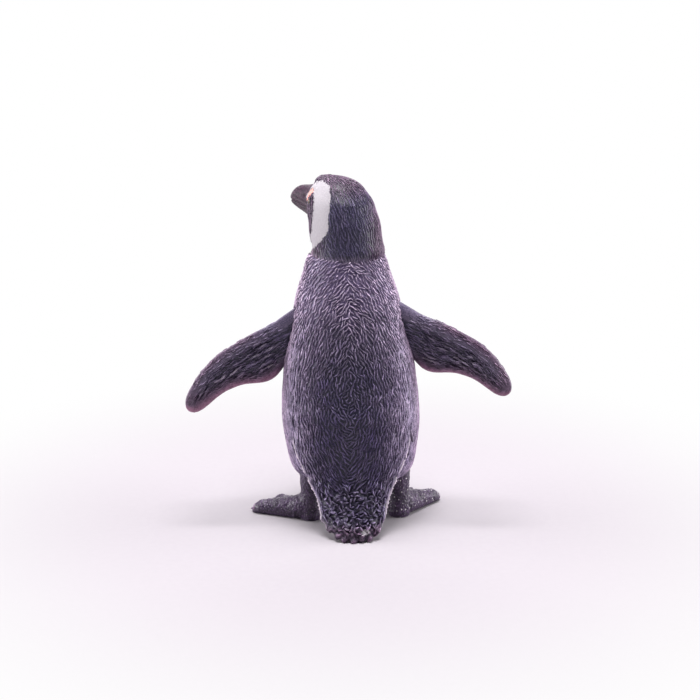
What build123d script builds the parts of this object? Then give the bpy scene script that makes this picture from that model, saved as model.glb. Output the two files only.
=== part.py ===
from build123d import *
from math import cos, pi, radians, sin
import os

# A penguin figurine of moulded vinyl, about 58 mm tall, standing on two webbed feet and its tail.
# It faces -Y with +Z up, and its left side is +X. Lengths are millimetres and angles degrees.
# Seven castings are glued together: each limb sits in a seat of its own shape in the trunk,
# and a square or oblong peg on one casting goes into a socket in the other, so it can't turn.
os.makedirs("parts", exist_ok=True)

# Trunk
neck_seam_height = 45.3
neck_radius = 6.0
trunk_half_width = 11.25
breast_depth = 11.7
back_depth = 12.0
spine_lean = 1.3  # how far the neck stands to the bird's left of the point between its feet

# Height as a share of neck_seam_height, then shares of trunk_half_width, breast_depth and back_depth
trunk_ring_shares = (
    (0.969, 0.588, 0.564, 0.542),
    (0.921, 0.642, 0.632, 0.600),
    (0.865, 0.717, 0.718, 0.667),
    (0.795, 0.782, 0.803, 0.742),
    (0.684, 0.872, 0.915, 0.833),
    (0.585, 0.953, 0.983, 0.908),
    (0.486, 0.995, 1.000, 0.967),
    (0.397, 1.010, 0.966, 1.000),
    (0.320, 0.985, 0.889, 1.000),
    (0.254, 0.945, 0.786, 0.942),
    (0.207, 0.900, 0.684, 0.800),
    (0.176, 0.825, 0.590, 0.658),
    (0.154, 0.700, 0.487, 0.517),
    (0.142, 0.520, 0.359, 0.367),
)

# Rump: the panel of back feathers that stands proud of the flanks and runs down into the tail
rump_top_height = 23.0
rump_half_width = 10.0
tail_reach = 14.7  # from the trunk's axis back to the tail's tip
tail_seam_height = 9.7

# Height as a share of rump_top_height, half width as a share of rump_half_width, then how far
# back the panel's side edge, its rear face and its front face lie, as shares of tail_reach
rump_ring_shares = (
    (1.000, 0.800, 0.400, 0.700, 0.340),
    (0.848, 0.970, 0.340, 0.800, 0.306),
    (0.709, 0.995, 0.388, 0.832, 0.306),
    (0.587, 0.930, 0.483, 0.840, 0.340),
    (0.500, 0.850, 0.537, 0.844, 0.430),
    (0.420, 0.760, 0.585, 0.850, 0.517),
    (0.317, 0.640, 0.646, 0.873, 0.626),
    (0.239, 0.575, 0.700, 0.898, 0.694),
    (0.130, 0.520, 0.782, 0.946, 0.762),
    (0.000, 0.480, 0.898, 1.000, 0.878),
)

# Tail feathers, whose rounded ends lie along a curve that is lowest in the middle
tail_feather_count = 9
tail_half_width = 6.0
tail_side_rise = 3.9
tail_notch_share = 0.4  # of one feather's width

# Head, in its own frame: forward along the bill, and up from the neck seam
head_turn = 50.0  # to the bird's left
skull_height = 12.7
skull_half_length = 6.0
skull_half_width = 5.75

# Height as a share of skull_height, how far forward the ring's middle lies and its half length as
# shares of skull_half_length, and its half width as a share of skull_half_width
skull_ring_shares = (
    (0.184, -0.02, 0.990, 1.000),
    (0.315, 0.03, 1.000, 0.991),
    (0.444, 0.07, 0.980, 0.974),
    (0.572, 0.14, 0.935, 0.939),
    (0.698, 0.21, 0.900, 0.878),
    (0.803, 0.28, 0.800, 0.765),
    (0.890, 0.31, 0.670, 0.626),
    (0.950, 0.39, 0.530, 0.470),
    (0.984, 0.48, 0.320, 0.280),
    (1.000, 0.53, 0.100, 0.090),
)

# Bill, which widens into the face inside the skull
bill_root_forward = 3.5
bill_tip_forward = 11.9
bill_height_above_seam = 8.3
bill_half_height = 3.9
bill_half_width = 3.9

# Share of the way from root to tip, rise as a share of bill_half_height, then shares of
# bill_half_height and bill_half_width
bill_ring_shares = (
    (0.000, -0.15, 1.000, 1.000),
    (0.287, -0.09, 0.833, 0.744),
    (0.460, -0.04, 0.705, 0.564),
    (0.615, 0.01, 0.603, 0.462),
    (0.793, 0.04, 0.487, 0.372),
    (0.920, 0.01, 0.320, 0.269),
    (0.977, -0.03, 0.192, 0.167),
    (1.000, -0.06, 0.077, 0.077),
)

# Eyes
eye_radius = 0.85
eye_forward = 3.6
eye_height_above_seam = 9.3
eye_half_spread = 4.0

# Flippers
flipper_width = 9.0
flipper_thickness = 2.2
flipper_sink = 4.8  # how deep the blade's root sits in the trunk
shoulder_back = 0.6
shoulder_inset = 0.3
flipper_sweep = 8.0
flipper_twist = 12.0
left_shoulder_height = 31.2
left_flipper_length = 21.3
left_flipper_droop = 34.0
right_shoulder_height = 32.4
right_flipper_length = 20.6
right_flipper_droop = 29.5

# Share of the flipper's length from shoulder to tip, then the leading edge, the trailing edge
# and the thickness, as shares of flipper_width, flipper_width and flipper_thickness
flipper_ring_shares = (
    (0.00, 0.472, -0.333, 1.00),
    (0.10, 0.483, -0.365, 0.98),
    (0.20, 0.522, -0.415, 0.96),
    (0.30, 0.550, -0.480, 0.93),
    (0.40, 0.567, -0.420, 0.90),
    (0.50, 0.580, -0.265, 0.87),
    (0.60, 0.567, -0.170, 0.83),
    (0.70, 0.513, -0.130, 0.78),
    (0.80, 0.425, -0.145, 0.71),
    (0.88, 0.333, -0.165, 0.63),
    (0.94, 0.245, -0.155, 0.54),
    (0.98, 0.145, -0.105, 0.38),
    (1.00, 0.050, -0.022, 0.16),
)

# Legs and feet
left_leg_spread = 7.35
left_leg_back = 3.0
right_leg_spread = 7.75
right_leg_back = 1.3
leg_radius = 1.75
leg_sink = 2.4  # how deep the leg's top sits in the thigh
ankle_height = 4.2
toe_length = 10.5
toe_half_width = 1.4
toe_half_height = 1.45
toe_sole_cut = 0.25
left_foot_splay = 38.0
left_toe_fan = 34.0
right_foot_splay = 15.0
right_toe_fan = 27.0
web_thickness = 1.1
web_reach_share = 0.84
web_scallop_share = 0.12
claw_length = 1.3
claw_radius = 0.42
claw_tip_radius = 0.12

# Share of toe_length from ankle to tip, then shares of toe_half_width and toe_half_height
toe_ring_shares = (
    (0.09, 1.40, 1.50),
    (0.24, 1.32, 1.36),
    (0.45, 1.12, 1.06),
    (0.70, 0.98, 0.92),
    (0.88, 0.86, 0.82),
    (0.97, 0.60, 0.58),
    (1.00, 0.30, 0.30),
)

# Height as a share of ankle_height, and radius as a share of leg_radius
shank_ring_shares = (
    (1.00, 0.95),
    (0.65, 1.00),
    (0.30, 1.08),
    (0.00, 1.00),
)

# Pegs and sockets
glue_gap = 0.08
neck_peg_side = 5.0
neck_peg_length = 4.5
flipper_peg_width = 4.2
flipper_peg_thickness = 1.4
flipper_peg_length = 2.6
leg_peg_side = 2.2
leg_peg_length = 3.0
tail_peg_width = 5.0
tail_peg_thickness = 2.2
tail_peg_length = 3.6
peg_corner_radius = 0.4

oval_points = 12


def oval(half_width, front, back):
    """Points of a closed egg outline: back is its reach towards +y, and front towards -y."""
    for i in range(oval_points):
        angle = 2 * pi * i / oval_points
        reach = back if sin(angle) > 0 else front
        yield half_width * cos(angle), reach * sin(angle)


def trunk_middle(height):
    """The X of the trunk's axis at a height: the bird leans a little to its left."""
    return spine_lean * (height / neck_seam_height - 1 / 2)


def trunk_side(height):
    """The trunk's half width at a height, read between its rings."""
    rings = [(1, neck_radius / trunk_half_width)] + [ring[:2] for ring in trunk_ring_shares]
    share = height / neck_seam_height
    for (high, wide_above), (low, wide_below) in zip(rings, rings[1:]):
        if low <= share <= high:
            blend = (share - low) / (high - low)
            return trunk_half_width * (wide_below + blend * (wide_above - wide_below))
    return trunk_half_width * rings[-1][1]


def head_point(forward, left, up):
    """A point of the head's own frame, which is turned about the neck's axis."""
    turn = radians(head_turn)
    return Vector(
        trunk_middle(neck_seam_height) + forward * sin(turn) + left * cos(turn),
        -forward * cos(turn) + left * sin(turn),
        neck_seam_height + up,
    )


head_left = head_point(0, 1, 0) - head_point(0, 0, 0)
head_forward = head_point(1, 0, 0) - head_point(0, 0, 0)
neck_top = Plane(head_point(0, 0, 0), x_dir=head_left, z_dir=(0, 0, 1))


# Flippers: a flat blade of oval rings, whose root and peg go into the trunk
def flipper_frame(side, height, droop):
    """The plane at the shoulder: x towards the leading edge, y its thickness, z along the blade."""
    out = Vector(side * cos(radians(droop)), 0, -sin(radians(droop)))
    up = Vector(side * sin(radians(droop)), 0, cos(radians(droop)))
    along = out.rotate(Axis.Z, side * flipper_sweep)
    leading = up.rotate(Axis.Z, side * flipper_sweep)
    leading = leading.rotate(Axis((0, 0, 0), along), -side * flipper_twist)
    root = Vector(
        trunk_middle(height) + side * (trunk_side(height) - shoulder_inset), shoulder_back, height
    )
    return Plane(root, x_dir=leading, z_dir=along)


def flipper_section(lead, trail, thick):
    """Points of the closed outline of one section of a blade."""
    middle = flipper_width * (lead + trail) / 2
    half_thickness = flipper_thickness * thick / 2
    for x, y in oval(flipper_width * (lead - trail) / 2, half_thickness, half_thickness):
        yield x + middle, y


def flipper_blade(frame, length):
    """The blade alone, with its root run straight into the trunk."""
    root = flipper_ring_shares[0][1:]
    root_run = [(-flipper_sink, *root), (0, *root)]
    blade_run = [(share * length, *section) for share, *section in flipper_ring_shares]
    with BuildPart() as blade:
        for run in (root_run, blade_run):
            for distance, *section in run:
                with BuildSketch(frame.offset(distance)):
                    with BuildLine():
                        Spline(*flipper_section(*section), periodic=True)
                    make_face()
            loft()
    return blade.part


def flipper_peg(frame, gap):
    """The peg beyond the blade's root, or the socket for it when gap is more than zero."""
    lead, trail = flipper_ring_shares[0][1:3]
    with BuildPart() as peg:
        with BuildSketch(frame.offset(-flipper_sink)):
            with Locations((flipper_width * (lead + trail) / 2, 0)):
                RectangleRounded(
                    flipper_peg_width + 2 * gap, flipper_peg_thickness + 2 * gap, peg_corner_radius
                )
        extrude(amount=-(flipper_peg_length + gap))
    return peg.part


left_frame = flipper_frame(1, left_shoulder_height, left_flipper_droop)
left_blade = flipper_blade(left_frame, left_flipper_length)
with BuildPart() as left_flipper:
    add(left_blade)
    add(flipper_peg(left_frame, 0))
left_flipper.part.label = "left_flipper"

right_frame = flipper_frame(-1, right_shoulder_height, right_flipper_droop)
right_blade = flipper_blade(right_frame, right_flipper_length)
with BuildPart() as right_flipper:
    add(right_blade)
    add(flipper_peg(right_frame, 0))
right_flipper.part.label = "right_flipper"


# Legs: a shank that goes up into the thigh, with three clawed toes joined by a web
thigh_bottom = neck_seam_height * trunk_ring_shares[-1][0]


def leg_axis(side):
    """The X and Y of a leg: the left foot stands a little behind the right one."""
    if side > 0:
        return trunk_middle(0) + left_leg_spread, left_leg_back
    return trunk_middle(0) - right_leg_spread, right_leg_back


def leg_peg(side, gap):
    """The square peg on top of a leg, or the socket for it when gap is more than zero."""
    with BuildPart() as peg:
        with BuildSketch(Plane((*leg_axis(side), thigh_bottom + leg_sink))):
            RectangleRounded(leg_peg_side + 2 * gap, leg_peg_side + 2 * gap, peg_corner_radius)
        extrude(amount=leg_peg_length + gap)
    return peg.part


def shank(side):
    """The leg from the sole to the top that sits in the thigh."""
    rings = [(thigh_bottom + leg_sink, 1), (thigh_bottom, 1)]
    rings += [(ankle_height * height, radius) for height, radius in shank_ring_shares]
    with BuildPart() as column:
        for height, radius in rings:
            with BuildSketch(Plane((*leg_axis(side), height))):
                Circle(leg_radius * radius)
        loft()
    return column.part


def toe_direction(heading):
    """The level direction of a toe, at an angle from straight ahead towards the bird's left."""
    return Vector(sin(radians(heading)), -cos(radians(heading)), 0)


def toe(side, heading):
    """One tapering toe, rounded below as well as above."""
    start = Vector(*leg_axis(side), 0)
    ahead = toe_direction(heading)
    with BuildPart() as finger:
        for share, wide, high in toe_ring_shares:
            half_height = toe_half_height * high
            centre = start + ahead * (toe_length * share) + Vector(0, 0, half_height - toe_sole_cut)
            with BuildSketch(Plane(centre, x_dir=Vector(0, 0, 1).cross(ahead), z_dir=ahead)):
                with BuildLine():
                    Spline(*oval(toe_half_width * wide, half_height, half_height), periodic=True)
                make_face()
        loft()
    return finger.part


def claw(side, heading):
    """The blunt claw that grows out of the end of a toe."""
    start = Vector(*leg_axis(side), 0)
    ahead = toe_direction(heading)
    root = start + ahead * (toe_length - claw_length / 2) + Vector(0, 0, 2 * claw_radius)
    end = start + ahead * (toe_length + claw_length / 2) + Vector(0, 0, claw_radius)
    with BuildPart() as hook:
        for point, radius in ((root, claw_radius), (end, claw_tip_radius)):
            with BuildSketch(Plane(point, z_dir=end - root)):
                Circle(radius)
        loft()
    return hook.part


def web(side, headings):
    """The web, from the ankle to its scalloped edge between the toes."""
    start = Vector(*leg_axis(side), 0)
    corners = [start + toe_direction(h) * (toe_length * web_reach_share) for h in headings]
    with BuildPart() as skin:
        with BuildSketch():
            with BuildLine():
                Line(start, corners[0])
                for near, far in zip(corners, corners[1:]):
                    dip = ((near + far) / 2 - start) * web_scallop_share
                    ThreePointArc(near, (near + far) / 2 - dip, far)
                Line(corners[-1], start)
            make_face()
        extrude(amount=web_thickness)
    return skin.part


def make_leg(label, side, splay, fan):
    """A leg with its foot, cut flat at the sole."""
    headings = [side * (splay + fan * place) for place in (-1, 0, 1)]
    with BuildPart() as leg:
        add(shank(side))
        for heading in headings:
            add(toe(side, heading))
            add(claw(side, heading))
        add(web(side, headings))
        add(leg_peg(side, 0))
        split(bisect_by=Plane.XY, keep=Keep.TOP)
    leg.part.label = label
    return leg.part


left_leg = make_leg("left_leg", 1, left_foot_splay, left_toe_fan)
right_leg = make_leg("right_leg", -1, right_foot_splay, right_toe_fan)


# Rump and tail: one tapering panel, sharp along both sides, that the tail seam cuts in two
with BuildPart() as panel:
    for height_share, half_width_share, edge_share, rear_share, front_share in rump_ring_shares:
        height = rump_top_height * height_share
        half_width = rump_half_width * half_width_share
        left_edge = (trunk_middle(height) + half_width, tail_reach * edge_share)
        right_edge = (trunk_middle(height) - half_width, tail_reach * edge_share)
        with BuildSketch(Plane.XY.offset(height)):
            with BuildLine():
                ThreePointArc(right_edge, (trunk_middle(height), tail_reach * rear_share), left_edge)
                ThreePointArc(left_edge, (trunk_middle(height), tail_reach * front_share), right_edge)
            make_face()
    loft()

tail_seam = Plane.XY.offset(tail_seam_height)
tail_peg_middle = (trunk_middle(tail_seam_height), tail_reach * sum(rump_ring_shares[5][3:]) / 2)

with BuildPart() as rump:
    add(panel.part)
    split(bisect_by=tail_seam, keep=Keep.TOP)

with BuildPart() as tail_blank:
    add(panel.part)
    split(bisect_by=tail_seam, keep=Keep.BOTTOM)


notch_depth = tail_notch_share * 2 * tail_half_width / tail_feather_count


def notch_point(place):
    """A point of the curve through the notches, from -1 at the right edge to 1 at the left."""
    rise = tail_side_rise * (abs(place) ** 3 - 1 / tail_feather_count ** 3)
    return trunk_middle(0) + tail_half_width * place, rise + notch_depth


with BuildPart() as tail:
    add(tail_blank.part)
    # Everything below the row of rounded feather ends is cut away
    with BuildSketch(Plane.XZ):
        with BuildLine():
            for i in range(tail_feather_count):
                near = Vector(*notch_point(2 * i / tail_feather_count - 1))
                far = Vector(*notch_point(2 * (i + 1) / tail_feather_count - 1))
                ThreePointArc(near, (near + far) / 2 - Vector(0, notch_depth), far)
            right, left = Vector(*notch_point(-1)), Vector(*notch_point(1))
            clear = Vector(tail_half_width, 0)
            below = Vector(0, 2 * left.Y)
            corners = (left + clear, left + clear - below, right - clear - below, right - clear)
            Polyline(left, *corners, right)
        make_face()
    extrude(amount=-2 * tail_reach, mode=Mode.SUBTRACT)
    with BuildSketch(tail_seam):
        with Locations(tail_peg_middle):
            RectangleRounded(tail_peg_width, tail_peg_thickness, peg_corner_radius)
    extrude(amount=tail_peg_length)
tail.part.label = "tail"


# Head: level rings from the neck seam to the crown, and upright ones from the face to the bill
with BuildPart() as bill:
    for share, rise, high, wide in bill_ring_shares:
        forward = bill_root_forward + share * (bill_tip_forward - bill_root_forward)
        up = bill_height_above_seam + rise * bill_half_height
        with BuildSketch(Plane(head_point(forward, 0, up), x_dir=head_left, z_dir=head_forward)):
            with BuildLine():
                reach = bill_half_height * high
                Spline(*oval(bill_half_width * wide, reach, reach), periodic=True)
            make_face()
    loft()

with BuildPart() as head:
    with BuildSketch(neck_top):
        with BuildLine():
            Spline(*oval(neck_radius, neck_radius, neck_radius), periodic=True)
        make_face()
    for height_share, forward_share, half_length_share, half_width_share in skull_ring_shares:
        middle = head_point(skull_half_length * forward_share, 0, skull_height * height_share)
        with BuildSketch(Plane(middle, x_dir=head_left, z_dir=(0, 0, 1))):
            with BuildLine():
                reach = skull_half_length * half_length_share
                Spline(*oval(skull_half_width * half_width_share, reach, reach), periodic=True)
            make_face()
    loft()
    add(bill.part)
    for side in (1, -1):
        with Locations(head_point(eye_forward, side * eye_half_spread, eye_height_above_seam)):
            Sphere(eye_radius)
    with BuildSketch(neck_top):
        RectangleRounded(neck_peg_side + 2 * glue_gap, neck_peg_side + 2 * glue_gap, peg_corner_radius)
    extrude(amount=neck_peg_length + glue_gap, mode=Mode.SUBTRACT)
head.part.label = "head"


# Trunk: breast, back and thighs, with the neck's peg and the seats of the limbs
with BuildPart() as trunk:
    with BuildSketch(neck_top):
        with BuildLine():
            Spline(*oval(neck_radius, neck_radius, neck_radius), periodic=True)
        make_face()
    for height_share, width_share, breast_share, back_share in trunk_ring_shares:
        height = neck_seam_height * height_share
        with BuildSketch(Plane((trunk_middle(height), 0, height))):
            with BuildLine():
                Spline(
                    *oval(
                        trunk_half_width * width_share,
                        breast_depth * breast_share,
                        back_depth * back_share,
                    ),
                    periodic=True,
                )
            make_face()
    loft()
    add(tail_blank.part, mode=Mode.SUBTRACT)
    add(rump.part)
    with BuildSketch(neck_top):
        RectangleRounded(neck_peg_side, neck_peg_side, peg_corner_radius)
    extrude(amount=neck_peg_length)
    # Seats, each cut by the limb's own shape, and sockets
    for frame, blade in ((left_frame, left_blade), (right_frame, right_blade)):
        add(blade, mode=Mode.SUBTRACT)
        add(flipper_peg(frame, glue_gap), mode=Mode.SUBTRACT)
    for side in (1, -1):
        add(shank(side), mode=Mode.SUBTRACT)
        add(leg_peg(side, glue_gap), mode=Mode.SUBTRACT)
    with BuildSketch(tail_seam):
        with Locations(tail_peg_middle):
            RectangleRounded(
                tail_peg_width + 2 * glue_gap, tail_peg_thickness + 2 * glue_gap, peg_corner_radius
            )
    extrude(amount=tail_peg_length + glue_gap, mode=Mode.SUBTRACT)
trunk.part.label = "trunk"


# The origin is on the floor, under the middle of the whole figure
castings = [
    trunk.part,
    head.part,
    left_flipper.part,
    right_flipper.part,
    left_leg,
    right_leg,
    tail.part,
]
middle = Compound(castings).bounding_box().center()
print("middle of the figure", round(middle.X, 3), round(middle.Y, 3))
for casting in castings:
    print(casting.label, casting.is_valid, round(casting.volume, 1), len(casting.solids()))
    placed = casting.moved(Location((-middle.X, -middle.Y, 0)))
    export_step(placed, f"parts/{casting.label}.step")
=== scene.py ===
# %% [markdown]
# # A penguin figurine of moulded vinyl
# The real thing is a small figure, about as tall as a thumb is long, cast in soft dark vinyl and
# then painted. Its sculptor covered the whole bird with carved feather strokes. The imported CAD
# part fixes where every casting is and how big it is. This lesson dresses each casting with an
# evenly meshed skin, real feather strokes and paint, and leaves the sizes alone.

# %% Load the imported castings
import math

import bmesh
import bpy
import numpy as np
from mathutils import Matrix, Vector
from mathutils.bvhtree import BVHTree
from mathutils.noise import noise as cloud_at


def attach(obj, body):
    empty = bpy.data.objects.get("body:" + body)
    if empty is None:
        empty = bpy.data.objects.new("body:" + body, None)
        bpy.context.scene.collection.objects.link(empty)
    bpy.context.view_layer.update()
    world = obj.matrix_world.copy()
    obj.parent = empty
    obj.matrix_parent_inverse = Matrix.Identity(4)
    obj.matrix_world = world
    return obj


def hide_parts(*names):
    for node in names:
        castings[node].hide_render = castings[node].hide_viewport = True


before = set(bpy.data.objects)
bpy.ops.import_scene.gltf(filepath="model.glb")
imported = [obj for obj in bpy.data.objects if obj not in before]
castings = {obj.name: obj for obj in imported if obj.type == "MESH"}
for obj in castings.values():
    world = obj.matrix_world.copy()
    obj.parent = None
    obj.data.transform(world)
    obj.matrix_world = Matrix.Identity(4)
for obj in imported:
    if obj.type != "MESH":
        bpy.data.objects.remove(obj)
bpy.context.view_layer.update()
print("castings:", sorted(castings))

# %% [markdown]
# ## Working in millimetres
# The details are a tenth of a millimetre wide, so everything is sculpted in millimetres and made
# metres only when a piece is finished. One random seed makes every run the same.

# %% Units and seed
mm = 0.001
chance = np.random.default_rng(58)
scene = bpy.context.scene
scene.view_settings.view_transform = "Standard"
print("one millimetre is", mm, "of Blender's metres")


def smoothstep(value, low, high):
    """0 below low, 1 above high, and an even slope between."""
    share = np.clip((value - low) / (high - low), 0, 1)
    return share * share * (3 - 2 * share)


def bump_at(distance, width):
    """A rounded bump: 1 at no distance, and nearly nothing at twice the width."""
    return np.exp(-((distance / width) ** 2))


def clouds_at(points, size, layer=0.0):
    """Soft clouds of a size in millimetres, from -1 to 1, the same in every run."""
    return np.array([cloud_at(Vector(p) / size + Vector((layer, layer, layer))) for p in points])


# %% [markdown]
# ## Camera
# The photograph looks at the bird's back from a little above. A lens of 85 mm about 28 cm away
# gives the same outline, and a level target keeps the upright lines upright.

# %% Camera
camera_lens = 85
camera_distance = 276 * mm
camera_rise = math.radians(15)
camera_target = Vector((-0.279, -0.057, 29.25)) * mm

camera = bpy.data.objects.new("camera", bpy.data.cameras.new("camera"))
scene.collection.objects.link(camera)
camera.data.lens = camera_lens
camera.data.sensor_width = 36
camera.data.clip_start, camera.data.clip_end = 5 * mm, 5
camera_side = Vector((0, math.cos(camera_rise), math.sin(camera_rise)))
camera.location = camera_target + camera_side * camera_distance
camera.rotation_euler = (-camera_side).to_track_quat("-Z", "Y").to_euler()
scene.camera = camera
print("camera stands at", tuple(round(v, 3) for v in camera.location))

# %% [markdown]
# ## Building materials in code
# A material is a small web of nodes. One helper places a node, sets its plain values and joins
# its wires, so that each recipe below reads from top to bottom like a list of steps.

# %% Node helper
def place(tree, kind, wires=None, **settings):
    """Adds a node. A wire's value is either another node's output or a plain value."""
    node = tree.nodes.new(kind)
    for name, value in settings.items():
        setattr(node, name, value)
    for socket, value in (wires or {}).items():
        if isinstance(value, bpy.types.NodeSocket):
            tree.links.new(value, node.inputs[socket])
        else:
            node.inputs[socket].default_value = value
    return node


# %% Recipes for materials
def paint(red, green, blue):
    """A paint's colour as seen on a screen, 0 to 255, turned into the linear value of a node."""
    shares = [value / 255 for value in (red, green, blue)]
    linear = [((v + 0.055) / 1.055) ** 2.4 if v > 0.04 else v / 12.92 for v in shares]
    return (*linear, 1)


def calc(tree, operation, first, second=0.0, clamp=False):
    """One sum, product or other step between two numbers."""
    wires = {0: first, 1: second}
    return place(tree, "ShaderNodeMath", wires, operation=operation, use_clamp=clamp).outputs[0]


def blend_paint(tree, share, first, second):
    """The first colour where share is 0, and the second where it is 1."""
    wires = {0: share, 6: first, 7: second}
    return place(tree, "ShaderNodeMix", wires, data_type="RGBA").outputs[2]


def ramp(tree, value, low, high, start=0.0, end=1.0):
    """Spreads a value from low and high to start and end, with smooth shoulders."""
    wires = {"Value": value, "From Min": low, "From Max": high, "To Min": start, "To Max": end}
    node = place(tree, "ShaderNodeMapRange", wires, interpolation_type="SMOOTHSTEP")
    return node.outputs["Result"]


def carried(tree, name):
    """A number that the mesh carries at each of its points."""
    return place(tree, "ShaderNodeAttribute", attribute_name=name).outputs["Fac"]


# %% Material and relief
def new_material(name):
    """An empty material with its principled shader, and the object's own place in millimetres."""
    material = bpy.data.materials.new(name)
    material.use_nodes = True
    tree = material.node_tree
    tree.nodes.clear()
    shader = place(tree, "ShaderNodeBsdfPrincipled")
    output = place(tree, "ShaderNodeOutputMaterial")
    tree.links.new(shader.outputs[0], output.inputs["Surface"])
    where = place(tree, "ShaderNodeTexCoord").outputs["Object"]
    in_mm = place(tree, "ShaderNodeMapping", {"Vector": where, "Scale": (1 / mm, 1 / mm, 1 / mm)})
    return material, tree, shader, in_mm.outputs[0]


def noise(tree, where, scale, detail=2.0, roughness=0.5):
    """Cloudy noise with so many clouds to a millimetre."""
    wires = {"Vector": where, "Scale": scale, "Detail": detail, "Roughness": roughness}
    return place(tree, "ShaderNodeTexNoise", wires).outputs["Fac"]


def give_relief(tree, shader, height, depth, strength):
    """Tilts the surface's shading by a height, as relief of a depth in millimetres would."""
    wires = {"Height": height, "Distance": depth * mm, "Strength": strength}
    tree.links.new(place(tree, "ShaderNodeBump", wires).outputs[0], shader.inputs["Normal"])


# %% [markdown]
# ## Feathered vinyl
# The body is dark violet-grey vinyl with a satin face. The furrows between the carved strokes stay
# nearly black, partly a dark wash and partly painted shade, and the crests are paler, partly dry
# brushing and partly a painted highlight. They are palest on the shoulders and flanks, where the
# maker brushed a pale violet over them with a nearly dry brush and where a painted highlight of the
# top and side lamps lies. A thin matt white paint covers the bands and the belly up to a slightly
# ragged border. The mesh says how high on a stroke each point is ("crest"), how pale that stroke
# came out ("tone"), how much dry brushing and painted highlight it has ("pale"), how reddish it is
# ("blush"), which is the bill's own plum horn and elsewhere a painted glow and sheen, how sharp an
# edge it sits on, for a painted highlight ("worn"), and how far inside each paint it lies, in
# millimetres. The material turns the last into a crisp border with a little noise, which a colour
# stored at each point could not do.

# %% Paints of the feathered vinyl
# A furrow paint is darker than its stroke paint, partly a dark wash and partly painted shade. The
# edge paint is a near-white painted highlight on sharp edges.
furrow_dark, stroke_dark = paint(6, 6, 34), paint(131, 116, 165)
furrow_pale, stroke_pale = paint(88, 76, 110), paint(228, 206, 234)
furrow_blush, stroke_blush = paint(32, 17, 34), paint(196, 144, 170)
edge_highlight_paint = paint(234, 218, 234)
furrow_white, stroke_white = paint(164, 158, 165), paint(228, 224, 228)
pink_skin, stray_fleck = paint(232, 158, 146), paint(214, 206, 214)
print("a pale crest's linear colour:", [round(v, 2) for v in stroke_pale[:3]])


# %% Borders and specks
pale_clouds, stroke_clouds, vinyl_grain, ragged_clouds = 0.35, 1.4, 5.0, 2.2  # to a millimetre
stray_specks = 0.4  # cells to a millimetre, of which about one in ten has a speck
furrow_roughness, white_roughness = 0.42, 0.16  # the second is added where the paint is white


def border(tree, name, ragged, width=0.05):
    """How much of a paint lies at a point: 0 outside its border and 1 inside."""
    reach = calc(tree, "ADD", carried(tree, name), ragged)
    return ramp(tree, reach, -width, width)


def stray_speck(tree, where):
    """1 on a few small round specks, and 0 elsewhere."""
    wires = {"Vector": where, "Scale": stray_specks}
    cells = place(tree, "ShaderNodeTexVoronoi", wires, feature="F1").outputs
    chosen = place(tree, "ShaderNodeSeparateXYZ", {0: cells["Color"]}).outputs["X"]
    dot = ramp(tree, cells["Distance"], 0.055, 0.035)
    return calc(tree, "MULTIPLY", dot, ramp(tree, chosen, 0.12, 0.08))


# %% Strokes, dry brushing and painted highlight
def stroke_lift(tree, where, ridge, grain):
    """How pale each point of the strokes is: 0 in a furrow, as painted shade, and 1 on a pale
    stroke's crest, as a painted highlight.
    """
    lift = calc(tree, "MULTIPLY", ridge, ramp(tree, carried(tree, "tone"), 0, 1, 0.45, 1.15))
    uneven = ramp(tree, noise(tree, where, stroke_clouds, 2.0), 0.35, 0.6, 0.65, 1.1)
    lift = calc(tree, "MULTIPLY", lift, uneven)
    return calc(tree, "ADD", lift, ramp(tree, grain, 0.35, 0.7, -0.04, 0.17), clamp=True)


def dark_vinyl(tree, where, lift, blush):
    """The dark vinyl with its dry brushing and painted highlight, its reddish tint and painted
    glow, and a painted highlight on its sharp edges.
    """
    uneven = ramp(tree, noise(tree, where, pale_clouds, 3.0), 0.3, 0.7, -0.12, 0.12)
    pale_share = calc(tree, "ADD", carried(tree, "pale"), uneven, clamp=True)
    furrow = blend_paint(tree, calc(tree, "POWER", pale_share, 2.0), furrow_dark, furrow_pale)
    stroke = blend_paint(tree, pale_share, stroke_dark, stroke_pale)
    dark = blend_paint(tree, lift, furrow, stroke)
    dark = blend_paint(tree, blush, dark, blend_paint(tree, lift, furrow_blush, stroke_blush))
    # Sharp edges turn near white, a painted highlight.
    edge_highlight = calc(tree, "MULTIPLY", carried(tree, "edge_highlight"), 0.65)
    return blend_paint(tree, edge_highlight, dark, edge_highlight_paint)


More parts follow.
